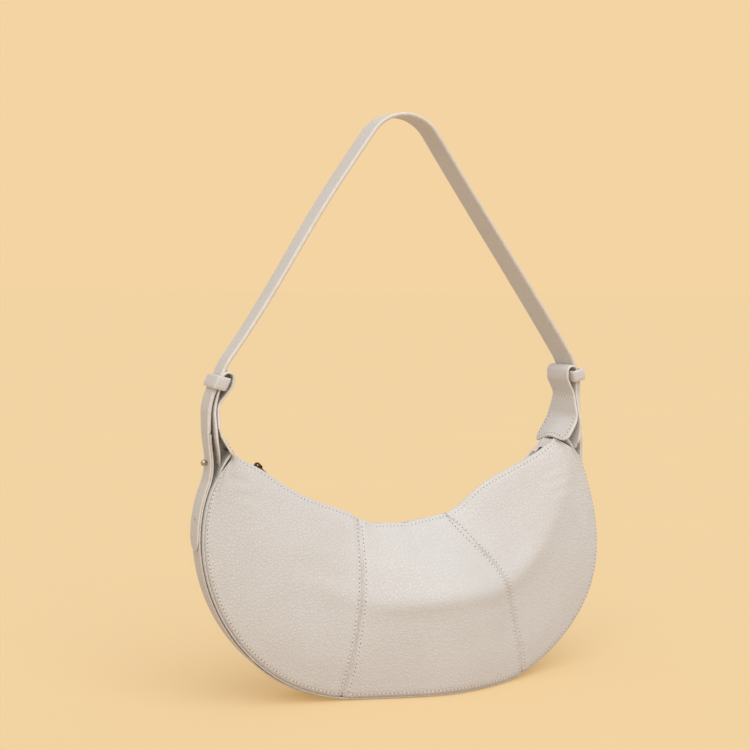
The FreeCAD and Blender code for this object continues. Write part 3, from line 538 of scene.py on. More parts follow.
def panel_section(angle, front):
    """Give the outer and inner (across, radius) rows of a panel, and where along the leather each is."""
    outer = outline_radius(angle)
    edge = gusset_half(outer * math.sin(angle)) + LEATHER + 0.3
    along = min(abs(angle) / PANEL_END, 1.0)
    mouth = lip_radius(angle, front)
    drop = outer - mouth - SEAM_TURN
    belly = edge + BELLY * (1.0 + 0.6 * math.sin(math.pi * along)) * (1.0 - along ** 2)
    lip = min(LIP_HALF, edge - 4.0)
    reach = 0.75 * (edge - lip)
    slope = min(0.6 * reach, 0.3 * drop)
    poles = np.array([(lip, mouth), (lip + reach, mouth + slope), (belly, mouth + BELLY_PLACE * drop),
                      (edge, mouth + drop)])
    t = np.linspace(0, 1, CURVE_STEPS)[:, None]
    curve = ((1 - t) ** 3 * poles[0] + 3 * t * (1 - t) ** 2 * poles[1]
             + 3 * t ** 2 * (1 - t) * poles[2] + t ** 3 * poles[3])
    length = run_length(curve)
    total = length[-1]
    tight = min(1.0, total / SHORT_RUN)
    first, last = LIP_STEPS[-1] * tight, total - SEAM_STEPS[0] * tight
    middle = np.linspace(first, last, MIDDLE_STEPS + 2)[1:-1]
    places = np.concatenate([np.array(LIP_STEPS) * tight, middle, total - np.array(SEAM_STEPS) * tight])
    rows = read_along(places, length, curve)
    start = unit(curve[4] - curve[0])
    out = np.array([start[1], -start[0]])
    fold = [rows[0] - out * LIP_FOLD + LIP_FOLD * (out * math.cos(a) - start * math.sin(a))
            for a in FOLD_TURNS]
    end = unit(curve[-1] - curve[-5])
    face = np.array([end[1], -end[0]])
    turn = [rows[-1] - face * SEAM_TURN + SEAM_TURN * (face * math.cos(a) + end * math.sin(a))
            for a in SEAM_TURNS]
    outside = np.concatenate([fold, rows, turn])
    where = np.concatenate([np.full(len(fold), 0.0), places, np.full(len(turn), total)])
    back = np.linspace(total - 1.0, 3.0 * tight, INNER_STEPS)
    under = read_along(back, length, curve)
    ways = unit(np.gradient(under, axis=0))
    inside = under + np.stack([ways[:, 1], -ways[:, 0]], axis=1) * LEATHER * 0.9
    return outside, inside, where, total


# %% [markdown]
# The soft forms are sums of smooth bumps, each with a place, a width and a height, as a
# sculptor would press them with a thumb. They are measured along the leather and not in space,
# so that a crease stays square to the surface it is in.

# %% Soft forms of the panels
def hill(value, centre, before, after):
    """Give a bump that fades over one width before its centre and another after it."""
    return bell(value, centre, np.where(value < centre, before, after))


def seam_form(gap, run):
    """Press a seam: the edge rolls in, with a channel under the stitches and small puckers."""
    roll = -2.2 * bell(gap, 0.0, 1.1)
    channel = -0.38 * bell(gap, 3.0, 0.9)
    pillow = 0.35 * bell(gap, 6.5, 3.5)
    pucker = 0.14 * np.sin(run * 0.74) * bell(gap, 2.0, 2.2)
    return roll + channel + pillow + pucker


def soft_form(x, where, total, front):
    """Add the fold under the slope, slow waves and the creases by the ears, in millimetres outwards."""
    share = where / total
    full = 0.43 + 0.05 * bell(x, 0, 90)
    strength = 7.5 * bell(x, 20, 78) + 2.5 * bell(x, 105, 36)
    if not front:
        strength = 4.5 * bell(x, -10, 85)
    form_out = strength * (0.7 * hill(share, full, 0.2, 0.17) + 0.5 * hill(share, full, 0.08, 0.06))
    form_out -= 0.3 * strength * hill(share, 0.18, 0.12, 0.1)
    slow = np.sin(x / 23.0 + 5.0 * share) * np.sin(x / 41.0 - 7.0 * share + 1.3)
    form_out += 0.8 * slow * np.sin(np.pi * share) ** 2
    return form_out


def crease(x, z, start, end, width, depth):
    """Press a crease from one point of the front to another, fading at both ends."""
    ax, az = start
    dx, dz = end[0] - ax, end[1] - az
    length = math.hypot(dx, dz)
    along = ((x - ax) * dx + (z - az) * dz) / length
    aside = ((x - ax) * dz - (z - az) * dx) / length
    fade = np.exp(-((along - length / 2) / (length * 0.42)) ** 4)
    ridge = bell(aside, 1.7 * width, width)
    return depth * fade * (0.5 * ridge - bell(aside, 0.0, width))


FRONT_CREASES = (
    ((128, 172), (152, 181), 3.2, 0.5), ((126, 165), (156, 172), 3.4, 0.55),
    ((134, 158), (160, 163), 3.2, 0.4), ((160, 176), (168, 128), 5.0, 1.0),
    ((-160, 186), (-138, 180), 3.4, 0.7), ((-156, 176), (-130, 166), 4.0, 0.5),
    ((-118, 120), (-60, 96), 9.0, 0.6), ((70, 96), (120, 130), 9.0, 0.7))


# %% [markdown]
# A panel is one blank. Its columns fan out from the mouth's centre and its rows run down the
# leather. The columns crowd at the seams, where the form changes fast. The front's right seam is
# pulled aside near the mouth, by turning the columns beside it.

# %% Panel builder
SEAM_PULL = math.radians(1.4)
PULL_WIDTH = math.radians(11)
SEAM_COLUMNS = (0.0, 0.4, 0.9, 1.5, 2.2, 3.0, 3.8, 4.8, 6.5, 9.0, 12.5, 17.0)
EAR_COLUMNS = (0.0, 1.5, 3.5, 6.0, 9.0, 13.0)
COLUMN_RADIUS = 290.0
stitch_rows = {}


def at_seam(angle):
    """Tell whether a panel's edge is one of the two radial seams."""
    return abs(abs(angle) - SEAM_ANGLE) < 1e-6


def columns_between(first, last):
    """Give the fan angles of a panel's columns, close together at its edges."""
    def steps(angle):
        return np.array(SEAM_COLUMNS if at_seam(angle) else EAR_COLUMNS) / COLUMN_RADIUS

    low, high = first + steps(first), last - steps(last)[::-1]
    spread = high[0] - low[-1]
    middle = np.linspace(low[-1], high[0], max(int(spread * COLUMN_RADIUS / 3.2), 4) + 1)[1:-1]
    return np.concatenate([low, middle, high])


def pull_share(share):
    """Give how far a seam's pull acts down the leather: back at the lip, forward below."""
    return 2.5 * smooth_step(share / 0.4) - 1.5


def crescent_panel(name, first, last, front):
    """Form one panel between two fan angles, and note its stitch rows."""
    angles = columns_between(first, last)
    side = -1.0 if front else 1.0
    dense = np.linspace(-PANEL_END, PANEL_END, 361)
    sections = [panel_section(angle, front) for angle in dense]
    share = np.stack([s[2] / s[3] for s in sections]).mean(axis=0)[None]
    pull = (SEAM_PULL if front else 0.0) * bell(angles, SEAM_ANGLE, PULL_WIDTH)
    pull *= np.clip((PANEL_END - np.abs(angles)) / math.radians(8), 0, 1)
    fan = angles[:, None] + pull[:, None] * pull_share(share)

    def sample(rows):
        return np.stack([np.interp(fan[:, k], dense, rows[:, k]) for k in range(fan.shape[1])], axis=1)

    outside = np.stack([sample(np.stack([s[0][:, k] for s in sections])) for k in range(2)], axis=-1)
    where = sample(np.stack([s[2] for s in sections]))
    total = np.interp(fan, dense, np.array([s[3] for s in sections]))
    skin = on_fan(outside[..., 1], fan, side * outside[..., 0])
    normal = unit(np.cross(np.gradient(skin, axis=0), np.gradient(skin, axis=1)))
    normal *= np.sign(np.sum(normal * np.array([0, side, 0.3]), axis=-1).mean())
    x, z = skin[..., 0], skin[..., 2]
    tight = np.minimum(1.0, total / SHORT_RUN)
    push = soft_form(x, where, total, front) * tight
    for edge in (first, last):
        if at_seam(edge):
            push += seam_form(np.abs(angles - edge)[:, None] * outside[..., 1], where)
    run = fan * COLUMN_RADIUS
    push += tight * (0.6 * seam_form(total - where, run) - 0.3 * bell(where, 3.0, 0.9))
    if front:
        for mark in FRONT_CREASES:
            push += crease(x, z, *mark) * tight
    skin = skin + normal * push[..., None]
    back = np.linspace(1, 0, INNER_STEPS)[None]
    turned = angles[:, None] + pull[:, None] * pull_share(back)
    depth, reach = (np.stack([np.interp(turned[:, k], dense, [s[1][k, j] for s in sections])
                              for k in range(INNER_STEPS)], axis=1) for j in range(2))
    loop = np.concatenate([skin, on_fan(reach, turned, side * depth), skin[:, :1]], axis=1)
    piece = close_tube(form(name, np.swapaxes(loop, 0, 1)))
    folds = len(FOLD_TURNS)
    lip_row = folds + LIP_STEPS.index(3.0)
    seam_row = folds + len(LIP_STEPS) + MIDDLE_STEPS + SEAM_STEPS.index(3.2)
    rows = stitch_rows.setdefault("front" if front else "back", [])
    for row in (lip_row, seam_row):
        rows.append((skin[:, row], normal[:, row]))
    inset = SEAM_COLUMNS.index(3.0)
    for edge, column in ((first, inset), (last, len(angles) - 1 - inset)):
        if at_seam(edge):
            rows.append((skin[column, lip_row:seam_row], normal[column, lip_row:seam_row]))
    return finish_piece(piece, "bag", "leather_cream", cream_leather)


FAN = {"left": (-PANEL_END, -SEAM_ANGLE), "centre": (-SEAM_ANGLE, SEAM_ANGLE),
       "right": (SEAM_ANGLE, PANEL_END)}
for wall in ("front", "back"):
    for part, (first, last) in FAN.items():
        panel = crescent_panel(f"{wall}_leather_{part}", first, last, wall == "front")
        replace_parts(panel, f"{wall}_panel_{part}")
    sew(f"{wall}_stitching", stitch_rows[wall], "bag")

# %% [markdown]
# ## Strips that follow a line
# The gusset, the straps and the ear tabs are all strips of hide that follow a line seen from
# the front. One helper takes such a line with the strip's half width and thickness at each
# place, and rolls a blank round it. The narrow cut edges get the second material, edge paint.

# %% Lines and strips
def rounded_line(corners, radii, step=1.5):
    """Join corners by straight runs and arcs, as points about a step apart."""
    corners = [np.array(c, float) for c in corners]
    pieces = [corners[0][None]]
    for before, corner, after, radius in zip(corners, corners[1:], corners[2:], radii):
        back, ahead = unit(before - corner), unit(after - corner)
        half = (math.pi - math.acos(np.clip(back @ ahead, -1, 1))) / 2
        entry, leave = corner + back * radius * math.tan(half), corner + ahead * radius * math.tan(half)
        middle = unit(back + ahead)
        centre = corner + middle * radius / math.cos(half)
        turns = np.linspace(-half, half, max(int(2 * half * radius / step), 6))
        aside = unit(leave - entry)
        arc = [centre + radius * (aside * math.sin(a) - middle * math.cos(a)) for a in turns]
        pieces.append(np.array(arc))
    pieces.append(corners[-1][None])
    line = np.concatenate(pieces)
    gaps = np.linalg.norm(np.diff(line, axis=0), axis=1)
    return even_steps(line[np.concatenate([[True], gaps > 1e-3])], step)


def round_ends(half, places, corner):
    """Shrink a strip's half width at its two ends, as round corners do."""
    inset = np.clip(corner - np.minimum(places, places[-1] - places), 0, corner)
    return half - corner + np.sqrt(np.maximum(corner ** 2 - inset ** 2, 0.0))


FACE_SHARES = (-1.0, -0.93, -0.82, -0.6, -0.3, 0.0, 0.3, 0.6, 0.82, 0.93, 1.0)
EDGE_TURNS = np.radians([60, 30, 0, -30, -60])


def strip(name, line, outward, half, thick, crown=0.25, bend=None):
    """Roll a blank round a line: its outer face on the line, its inner face a thickness inside it."""
    count = len(line)
    half = np.broadcast_to(np.asarray(half, float), (count,))
    thick = np.broadcast_to(np.asarray(thick, float), (count,))
    way = unit(np.gradient(line, axis=0))
    out = np.stack([way[:, 1], -way[:, 0]], axis=1) * outward
    loops, painted = [], []

    def ring(across, depth):
        spot = line - out * depth[:, None]
        loops.append(np.stack([spot[:, 0], across, spot[:, 1]], axis=1))

    round_by = np.minimum(thick * 0.5, half)
    for face, (shares, sign) in enumerate(((FACE_SHARES, 1.0), (FACE_SHARES[::-1], -1.0))):
        for share in shares:
            bulge = crown * (1 - share ** 2) * sign
            depth = np.zeros(count) if face == 0 else thick
            ring(share * (half - round_by), depth - bulge)
            painted.append(False)
        painted[-1] = True
        for turn in EDGE_TURNS:
            ring(sign * (half - round_by + round_by * math.cos(turn)),
                 thick / 2 - sign * round_by * math.sin(turn))
            painted.append(True)
    loops.append(loops[0])
    shape = np.stack(loops) if bend is None else bend(np.stack(loops))
    return close_tube(form(name, shape, painted)), out


# %% [markdown]
# ## Gusset
# The gusset is the strip between front and back: a base that lies flat on the table and two
# sides that narrow towards the ears. It meets the panels edge to edge, so its own edges are
# rounded in and the seams read as fine valleys.

# %% Gusset pieces
def outline_line(first, last, step=2.0):
    """Follow the bag's outline between two fan angles, evenly spaced."""
    angles = np.linspace(first, last, 600)
    radius = np.array([outline_radius(a) for a in angles])
    return even_steps(on_fan(radius, angles, 0.0)[:, ::2], step)[0]


def fan_of_corner(turn):
    """Give the fan angle of the point on the corner's arc at a turn up from the base."""
    x = HALF_WIDTH - CORNER + CORNER * math.sin(turn)
    return math.atan2(x, MOUTH_CENTRE - CORNER + CORNER * math.cos(turn))


base_fan = fan_of_corner(BASE_SEAM)
gap_fan = 0.15 / 350
for part, first, last in (("left", -EAR_ANGLE, -base_fan - gap_fan),
                          ("base", -base_fan + gap_fan, base_fan - gap_fan),
                          ("right", base_fan + gap_fan, EAR_ANGLE)):
    line = outline_line(first, last)
    widths = gusset_half(line[:, 0]) - 0.1
    piece = strip(f"gusset_leather_{part}", line, 1.0, widths, LEATHER, 0.0)[0]
    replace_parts(finish_piece(piece, "bag", "leather_cream", cream_leather, cream_leather), f"gusset_{part}")

# %% [markdown]
# ## Side straps and ear tabs
# A side strap runs from the base seam up each side under the tail of the shoulder strap. An
# ear tab is one strip folded over at the top: the outer leg is sewn outside the ear, the inner
# leg inside it, and the loop above holds the keeper. Both legs end in round corners, so the
# half width shrinks at the two ends of the strip as a circle does.

# %% Side straps
STRAP_HALF = 12.5
STRAP_OUTER = 175.0
LAP_X = 173.0
SIDE_OUT, SIDE_THICK, SIDE_TOP = 1.8, 1.4, 220.5


def side_x(height):
    """Give the side strap's outer face: on the gusset below, straight up under the tail above."""
    near = outline_x(height) + SIDE_OUT
    return (near + LAP_X + np.sqrt((near - LAP_X) ** 2 + 9.0)) / 2


for side, word in SIDES:
    turns = np.linspace(BASE_SEAM, math.pi / 2, 70)
    arc = np.stack([HALF_WIDTH - CORNER + (CORNER + SIDE_OUT) * np.sin(turns),
                    CORNER - (CORNER + SIDE_OUT) * np.cos(turns)], axis=1)
    heights = np.linspace(CORNER, SIDE_TOP, 61)[1:]
    up = np.stack([side_x(heights), heights], axis=1)
    line = np.concatenate([arc, up]) * (side, 1)
    piece = strip(f"side_strap_leather_{word}", line, float(side), STRAP_HALF, SIDE_THICK, 0.0)[0]
    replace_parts(finish_piece(piece, "bag", "leather_cream", strap_leather, edge_paint), f"side_strap_{word}")

# %% [markdown]
# An ear tab's line goes up the outside of the ear, over the loop and down again. The two legs
# touch at the waist, where a short row of stitches holds them, and spread below it over the ear.

# %% Ear tabs
TAB_THICK = 2.0
TAB_LEG = 168.6
TAB_TOP = 267.0
TAB_WIDE, TAB_NECK = 20.0, 13.5
TAB_CORNER = 9.0
WAIST_HEIGHT, HEM_LENGTH, HEM_IN = 241.0, 26.0, 3.2


def tab_half(line, places):
    """Give the tab's half width along its length: wide sewn ends with round corners, a narrow fold."""
    half = TAB_NECK + (TAB_WIDE - TAB_NECK) * smooth_step((248.0 - line[:, 1]) / 34.0)
    return round_ends(half, places, TAB_CORNER)


def droop(points):
    """Let the inner leg's two lower corners hang over the ear's slopes."""
    low = np.clip((228 - points[..., 2]) / 20, 0, 1) * (np.abs(points[..., 0]) < TAB_LEG - 3)
    hang = low * (5.0 * (points[..., 1] / TAB_WIDE) ** 2 + 0.2 * np.maximum(points[..., 1], 0))
    return points - hang[..., None] * np.array([0.0, 0.0, 1.0])


for side, word in SIDES:
    corners = [(TAB_LEG - 4.0, 197.0), (TAB_LEG - 1.2, 216.0), (TAB_LEG, 236.0), (TAB_LEG, TAB_TOP),
               (TAB_LEG - 8.0, TAB_TOP), (TAB_LEG - 8.0, 257.0), (TAB_LEG - 0.6, 243.5),
               (TAB_LEG - 1.2, 223.0), (TAB_LEG - 15.8, 204.5)]
    line, places = rounded_line(corners, (16.0, 30.0, 3.9, 3.9, 6.0, 12.0, 14.0), 1.2)
    half = tab_half(line, places)
    flat = line * (side, 1)
    piece, out = strip(f"ear_tab_leather_{word}", flat, -float(side), half, TAB_THICK, 0.15, droop)
    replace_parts(finish_piece(piece, "bag", "leather_cream", strap_leather, edge_paint), f"ear_tab_{word}")
    hem = np.nonzero((places > places[-1] - HEM_LENGTH) & (places < places[-1] - 3.4))[0]
    top = flat - out * (TAB_THICK + 0.1)
    down = np.stack([top[hem, 0], -(half[hem] - HEM_IN), top[hem, 1]], axis=1)
    across = np.linspace(down[-1], down[-1] * (1, -1, 1), 12)[1:-1]
    face = -np.stack([out[:, 0], np.zeros(len(out)), out[:, 1]], axis=1)
    normals = np.concatenate([face[hem], np.repeat(face[hem[-1:]], 10, axis=0), face[hem[::-1]]])
    row = droop(np.concatenate([down, across, down[::-1] * (1, -1, 1)]))
    waist = len(line) // 2 + np.argmin(np.abs(line[len(line) // 2:, 1] - WAIST_HEIGHT))
    tack = np.array([(top[waist, 0], y, top[waist, 1]) for y in np.linspace(-6.5, 6.5, 8)])
    tack_up = np.repeat(face[waist][None], len(tack), axis=0)
    sew(f"ear_tab_stitching_{word}", [(row, normals), (tack, tack_up)], "bag", 3.2, 1.0)

# %% [markdown]
# ## Shoulder strap and keepers
# The shoulder strap is one band from tail to tail. Its tails hang through the keepers and are
# held by the studs; the arch between them swings over the bag. The band is one mesh.
# The lower tail is one ply thick, with a spare hole punched by a Boolean modifier.

# %% Punched holes
def punch(piece, spots, radius):
    """Cut round holes through a piece along X with a Boolean modifier."""
    for spot in spots:
        bpy.ops.object.select_all(action="DESELECT")
        bpy.ops.mesh.primitive_cylinder_add(vertices=24, radius=radius * MM, depth=12 * MM,
                                            location=[v * MM for v in spot], rotation=(0, math.pi / 2, 0))
        tool = bpy.context.object
        cut = piece.modifiers.new("hole", "BOOLEAN")
        cut.operation = "DIFFERENCE"
        cut.solver = "EXACT"
        cut.object = tool
        bpy.context.view_layer.objects.active = piece
        bpy.ops.object.modifier_apply(modifier=cut.name)
        bpy.data.objects.remove(tool)


# %% [markdown]
# Seen from the front the strap's line is two straight tails, two bends and the arch at the top.
# It is measured out evenly, so that its thickness can change smoothly along it.

# %% Shoulder strap
HOLE_STEP, HOLE_RADIUS = 45.0, 2.1
BEND, BEND_HEIGHT = 60.0, 245.0
ARCH, STRAP_TOP = 38.0, 478.0
LAP_HEIGHT, TAIL_TIP, TIP_CORNER = 221.0, 128.0, 11.5
BEND_X, RISE = STRAP_OUTER - BEND, STRAP_TOP - ARCH - BEND_HEIGHT
LEAN = math.acos((ARCH - BEND) / math.hypot(BEND_X, RISE)) - math.atan2(RISE, BEND_X)
bend_turn = np.linspace(0, LEAN, 30)
arch_turn = np.linspace(LEAN, math.pi - LEAN, 70)


def tail_x(height):
    """Give the tail's outer face: on the side strap at the stud, hanging a little free below it."""
    return np.where(height < LAP_HEIGHT, side_x(height) + 1.7, STRAP_OUTER)


tail_heights = np.linspace(TAIL_TIP, BEND_HEIGHT, 60)
rise_line = np.stack([tail_x(tail_heights), tail_heights], axis=1)
bend_line = np.stack([BEND_X + BEND * np.cos(bend_turn), BEND_HEIGHT + BEND * np.sin(bend_turn)], axis=1)
arch_line = np.stack([ARCH * np.cos(arch_turn), STRAP_TOP - ARCH + ARCH * np.sin(arch_turn)], axis=1)
corner_line = np.concatenate([rise_line, bend_line[1:], arch_line, bend_line[::-1][:-1] * (-1, 1),
                              rise_line[::-1] * (-1, 1)])
length = run_length(corner_line)
places = np.linspace(0, length[-1], 640)
strap_line = read_along(places, length, corner_line)
strap_thick = np.interp(strap_line[:, 1], [LAP_HEIGHT - 0.6, LAP_HEIGHT + 0.6], [1.6, 3.2])
strap_half = round_ends(STRAP_HALF, places, TIP_CORNER)
strap = strip("strap_leather", strap_line, 1.0, strap_half, strap_thick, 0.0)[0]
hole_heights = (STUD_HEIGHT, STUD_HEIGHT - HOLE_STEP)
punch(strap, [(s * float(tail_x(z)), 0, z) for s in (-1, 1) for z in hole_heights], HOLE_RADIUS)
print("strap runs", round(length[-1]), "mm, lean", round(math.degrees(LEAN), 1), "degrees")

# %% [markdown]
# The strap swings about a line just above the keepers, where real leather bends over a short
# length. Here the strap is only shaded, given its finishes and baked where it lies.

# %% Strap finish
smooth(strap, 40)
finish_piece(strap, None, "leather_cream", strap_leather, edge_paint)
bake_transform(strap)
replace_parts(strap, "shoulder_strap", "strap_tail_left", "strap_tail_right")

# %% [markdown]
# A keeper is a small closed band round the strap and the tab's loop. It could be cut from a tube.
# Rolling a blank round a rectangle with round corners gives its soft edges at once.

# %% Keepers
KEEPER_X, KEEPER_HEIGHT, KEEPER_TILT = 169.5, 260.0, math.radians(14.0)


def keeper_ring(name, side):
    """Roll a keeper: a band round the strap and the tab's outer leg, tilted with the strap."""
    centre, tilt = Vector((side * KEEPER_X, 0, KEEPER_HEIGHT)), KEEPER_TILT
    wall, tall, soft = 1.6, 10.0, 2.2
    deep, wide = 5.9, 16.7
    path = []
    for cx, cy, start in ((1, 1, 0), (-1, 1, 90), (-1, -1, 180), (1, -1, 270)):
        for a in np.radians(np.linspace(start, start + 90, 7)):
            path.append((cx * (deep - soft) + soft * math.cos(a), cy * (wide - soft) + soft * math.sin(a),
                         math.cos(a), math.sin(a)))
    path.append(path[0])
    section = [(0.0, -tall / 2 + 0.5), (0.25, -tall / 4), (0.3, 0.0), (0.25, tall / 4), (0.0, tall / 2 - 0.5),
               (-0.45, tall / 2), (-wall + 0.45, tall / 2), (-wall, tall / 2 - 0.5), (-wall, 0.0),
               (-wall, -tall / 2 + 0.5), (-wall + 0.45, -tall / 2), (-0.45, -tall / 2)]
    section.append(section[0])
    painted = [False] * 4 + [True] * 3 + [False] * 2 + [True] * 3
    loops = []
    for out, up in section:
        row = []
        for x, y, nx, ny in path:
            px, py = x + nx * out, y + ny * out
            row.append((centre.x + px * math.cos(tilt) - side * up * math.sin(tilt), centre.y + py,
                        centre.z + side * px * math.sin(tilt) + up * math.cos(tilt)))
        loops.append(row)
    piece = form(name, np.array(loops), painted)
    return close_tube(piece, ring=True)


for side, word in SIDES:
    piece = keeper_ring(f"keeper_leather_{word}", side)
    finish_piece(piece, "bag", "leather_cream", strap_leather, edge_paint)
    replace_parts(piece, f"strap_keeper_{word}")

# %% [markdown]
# ## Zip, lining and studs
# The zip's teeth, slider and pull are hard and already have their true shape in the frame, so
# they stay and only get a finish. The tapes are cloth: two thin sheets formed beside the teeth,
# on the zip's own arc.

# %% Zip tapes
ZIP_END = math.radians(43.7)
TAPE_SECTION = ((3.4, 2.1), (5.8, 2.1), (8.0, 3.3), (11.9, 6.0))
TAPE_THICK = 0.5
for wall, side in WALLS:
    angles = np.linspace(-ZIP_END, ZIP_END, 160)
    section = [(across, ZIP_RADIUS + below) for across, below in TAPE_SECTION]
    under = [(a, r + TAPE_THICK) for a, r in section[::-1]]
    rows = [on_fan(r, angles, side * a, ZIP_CENTRE) for a, r in section + under + section[:1]]
    piece = close_tube(form(f"zip_tape_cloth_{wall}", np.stack(rows)))
    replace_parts(finish_piece(piece, "bag", "zip_tape_cloth", zip_cloth), f"zip_tape_{wall}")

# %% [markdown]
# Between a lip and its tape the leather turns down, so each lip has a narrow facing of hide that
# hides the tape's sewn edge. Folding the panel further would do it with many more points.

# %% Lip facings
def zip_reach(angle):
    """Give the zip's distance from the mouth's centre: its arc is a little tighter than the lips'."""
    lift = MOUTH_CENTRE - ZIP_CENTRE
    return lift * math.cos(angle) + math.sqrt(ZIP_RADIUS ** 2 - (lift * math.sin(angle)) ** 2)


for wall, side in WALLS:
    angles = np.linspace(-PANEL_END + 0.02, PANEL_END - 0.02, 150)
    feet = np.array([zip_reach(a) + 1.7 for a in angles])
    lips = np.array([lip_radius(a, wall == "front") for a in angles])
    tops = np.minimum(lips + 0.7, feet - 0.5)
    loop = ((5.9, tops), (5.7, feet), (6.5, feet), (6.7, tops), (5.9, tops))
    rows = [on_fan(radius, angles, side * across) for across, radius in loop]
    piece = close_tube(form(f"lip_facing_{wall}", np.stack(rows)))
    finish_piece(piece, "bag", "leather_cream", strap_leather)

# %% [markdown]
# Beyond the last tooth a zip's mouth would gape, so a short strip of hide closes it up to the
# ear on each side. It lies just under the two lips and goes in below the ear tab.

# %% Zip ends
LAST_TOOTH = math.radians(42.4)
for side, word in SIDES:
    angles = np.linspace(LAST_TOOTH, PANEL_END - 0.004, 14)
    reach = np.array([max(lip_radius(side * a, True), lip_radius(side * a, False)) + 0.6 for a in angles])
    line = on_fan(reach, side * angles, 0.0)[:, ::2]
    piece = strip(f"zip_end_leather_{word}", line, -float(side), LIP_HALF + 0.6, 1.2, 0.0)[0]
    finish_piece(piece, "bag", "leather_cream", strap_leather, edge_paint)

# %% [markdown]
# The lining is one sheet of cloth behind each wall and one on the base. Each is formed from the
# leather's own inner rows, a little further in, so that it can't show through.

# %% Lining
LINING_OUTER, LINING_INNER = 0.6, 1.1


def lining_sheet(name, front):
    """Form the lining of one wall, a little inside the leather."""
    side = -1.0 if front else 1.0
    angles = np.linspace(-PANEL_END + 0.09, PANEL_END - 0.09, 90)
    rows = []
    for angle in angles:
        inside = panel_section(angle, front)[1]
        steps = np.linspace(0, len(inside) - 1, 24)
        sheet = read_along(steps, np.arange(len(inside)), inside)[2:-3]
        ways = unit(np.gradient(sheet, axis=0))
        normal = np.stack([ways[:, 1], -ways[:, 0]], axis=1)
        near, far = sheet + normal * LINING_OUTER, sheet + normal * LINING_INNER
        loop = np.concatenate([near, far[::-1], near[:1]])
        rows.append(on_fan(loop[:, 1], angle, side * loop[:, 0]))
    return close_tube(form(name, np.stack(rows, axis=1)))


for wall in ("front", "back"):
    piece = lining_sheet(f"lining_cloth_{wall}", wall == "front")
    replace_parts(finish_piece(piece, "bag", "lining_cloth", lining_cloth), f"lining_{wall}")
base_under = [(-45, 2.2), (-15, 2.15), (15, 2.15), (45, 2.2)]
base_loop = base_under + [(x, 2.6) for x, z in base_under[::-1]] + base_under[:1]
base = np.array([[(x, y, z) for y in np.linspace(-27, 27, 20)] for x, z in base_loop])
piece = close_tube(form("lining_cloth_base", base))
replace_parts(finish_piece(piece, "bag", "lining_cloth", lining_cloth), "lining_base")

# %% [markdown]
# The hard parts keep their own shape: dark gunmetal on the zip and pale nickel on the studs.

# %% Finishes of the hard parts
for name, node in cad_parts.items():
    if node.hide_render:
        continue
    node.data.materials.clear()
    node.data.materials.append(nickel if "stud" in name else gunmetal)
    print("hard part", name)

# %% [markdown]
# ## Studio
# The bag stands on a plain warm floor in soft light. The floor and the world behind it have the
# same colour, and a wide sun and the sky together give a level at which that colour renders as
# it is written, so no horizon shows. Only the camera and reflections see the world's warm colour;
# the bag is lit by a plain pale one. Part of the floor's colour is lit and part of it glows, so
# that the bag's shadow stays as warm and pale as in the photograph.

# %% Floor, light and world
BACKDROP = srgb(244, 212, 163)
SUN_WAY = Vector((-0.15, -0.60, 0.79)).normalized()
SKY = 0.58
SUN = (1.0 - SKY) * math.pi / SUN_WAY.z
SKY_COLOUR, SUN_COLOUR = (0.97, 0.99, 1.0, 1), (0.99, 0.996, 1.0)
LIT_SHARE, GLOW_SHARE = (0.51, 0.60, 0.72, 1.0), (0.49, 0.40, 0.28, 1.0)
BOUNCE_COLOUR = (0.70, 0.53, 0.36, 1.0)
bpy.ops.object.select_all(action="DESELECT")
bpy.ops.mesh.primitive_plane_add(size=40, location=(0, 0, -0.0004))
floor = bpy.context.object
floor.name = "floor"
floor_finish, nodes, links, shader = new_finish("floor_paper")
place = nodes.new("ShaderNodeTexCoord").outputs["Object"]
paper = texture(nodes, links, place, "ShaderNodeTexNoise", Scale=3.0, Detail=2.0)
tone = ramp(nodes, links, paper.outputs["Fac"],
            [(0.3, tuple(c * 0.99 for c in BACKDROP[:3]) + (1,)), (0.7, BACKDROP)])
seen_by = nodes.new("ShaderNodeLightPath")
lit = mix(nodes, links, "MULTIPLY", 1.0, tone.outputs["Color"], LIT_SHARE)
shown = mix(nodes, links, "MIX", seen_by.outputs["Is Camera Ray"], BOUNCE_COLOUR, lit)
links.new(shown, shader.inputs["Base Color"])
glow = mix(nodes, links, "MULTIPLY", 1.0, tone.outputs["Color"], GLOW_SHARE)
links.new(glow, shader.inputs["Emission Color"])
links.new(seen_by.outputs["Is Camera Ray"], shader.inputs["Emission Strength"])
shader.inputs["Roughness"].default_value = 1.0
shader.inputs["Specular IOR Level"].default_value = 0.0
floor.data.materials.append(floor_finish)

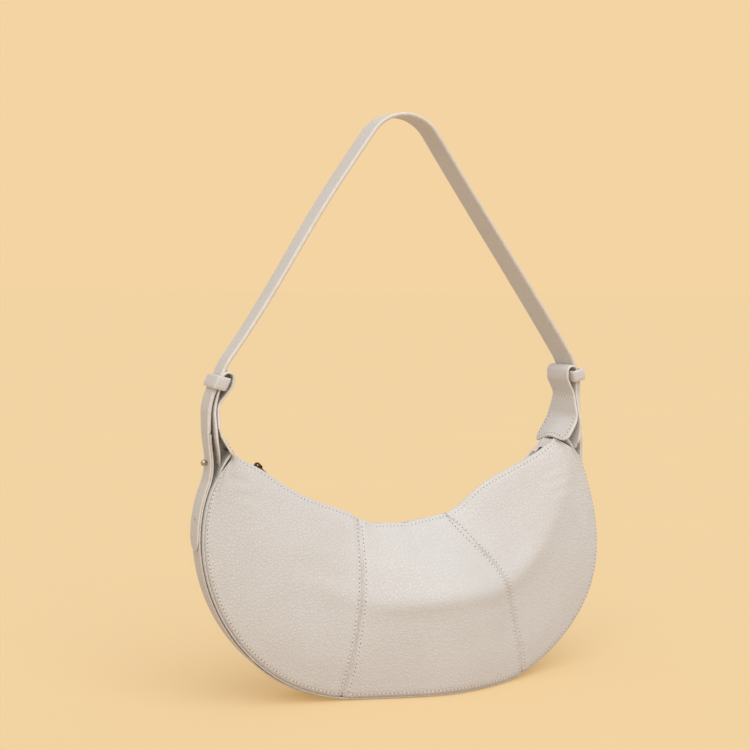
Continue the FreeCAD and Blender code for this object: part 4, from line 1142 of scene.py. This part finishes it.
world = bpy.data.worlds.new("studio")
bpy.context.scene.world = world
world.use_nodes = True
nodes, links = world.node_tree.nodes, world.node_tree.links
sky = nodes["Background"]
sky.inputs["Color"].default_value = SKY_COLOUR
sky.inputs["Strength"].default_value = SKY
seen = add_node(nodes, "ShaderNodeBackground", Color=BACKDROP, Strength=1.0)
path = nodes.new("ShaderNodeLightPath")
warm_rays = path.outputs["Is Camera Ray"]
for kind in ("Is Glossy Ray", "Is Transmission Ray"):
    either = add_node(nodes, "ShaderNodeMath", operation="MAXIMUM")
    links.new(warm_rays, either.inputs[0])
    links.new(path.outputs[kind], either.inputs[1])
    warm_rays = either.outputs["Value"]
choose = nodes.new("ShaderNodeMixShader")
links.new(warm_rays, choose.inputs["Fac"])
links.new(sky.outputs["Background"], choose.inputs[1])
links.new(seen.outputs["Background"], choose.inputs[2])
links.new(choose.outputs["Shader"], nodes["World Output"].inputs["Surface"])

bpy.ops.object.light_add(type="SUN", location=SUN_WAY * 3)
sun = bpy.context.object
sun.rotation_euler = SUN_WAY.to_track_quat("Z", "Y").to_euler()
sun.data.energy = SUN
sun.data.angle = math.radians(60)
sun.data.color = SUN_COLOUR
print("sun", round(SUN, 2), "sky", SKY)

# %% [markdown]
# ## Camera
# The camera stands to the bag's front left, a little above it, with a long lens. Its place was
# found by matching the outline of the frame with the photograph's.

# %% Camera
HEADING, PITCH, ROLL = math.radians(28.33), math.radians(-4.14), math.radians(1.01)
STAND = Vector((-0.5844, -1.0329, 0.3477))
FOCAL_PIXELS, PICTURE_WIDTH, SENSOR_WIDTH = 1424.74, 750, 36.0
ahead = Vector((math.sin(HEADING), math.cos(HEADING), 0))
right = Vector((math.cos(HEADING), -math.sin(HEADING), 0))
up = Vector((0, 0, 1))
look = ahead * math.cos(PITCH) + up * math.sin(PITCH)
top = up * math.cos(PITCH) - ahead * math.sin(PITCH)
turned_right = right * math.cos(ROLL) + top * math.sin(ROLL)
turned_top = top * math.cos(ROLL) - right * math.sin(ROLL)
bpy.ops.object.camera_add()
camera = bpy.context.object
axes = Matrix((turned_right, turned_top, -look)).transposed()
camera.matrix_world = Matrix.Translation(STAND) @ axes.to_4x4()
camera.data.sensor_fit = "HORIZONTAL"
camera.data.sensor_width = SENSOR_WIDTH
camera.data.lens = FOCAL_PIXELS / PICTURE_WIDTH * SENSOR_WIDTH
camera.data.clip_end = 100
bpy.context.scene.camera = camera
bpy.context.scene.view_settings.view_transform = "Standard"
print("lens", round(camera.data.lens, 1))
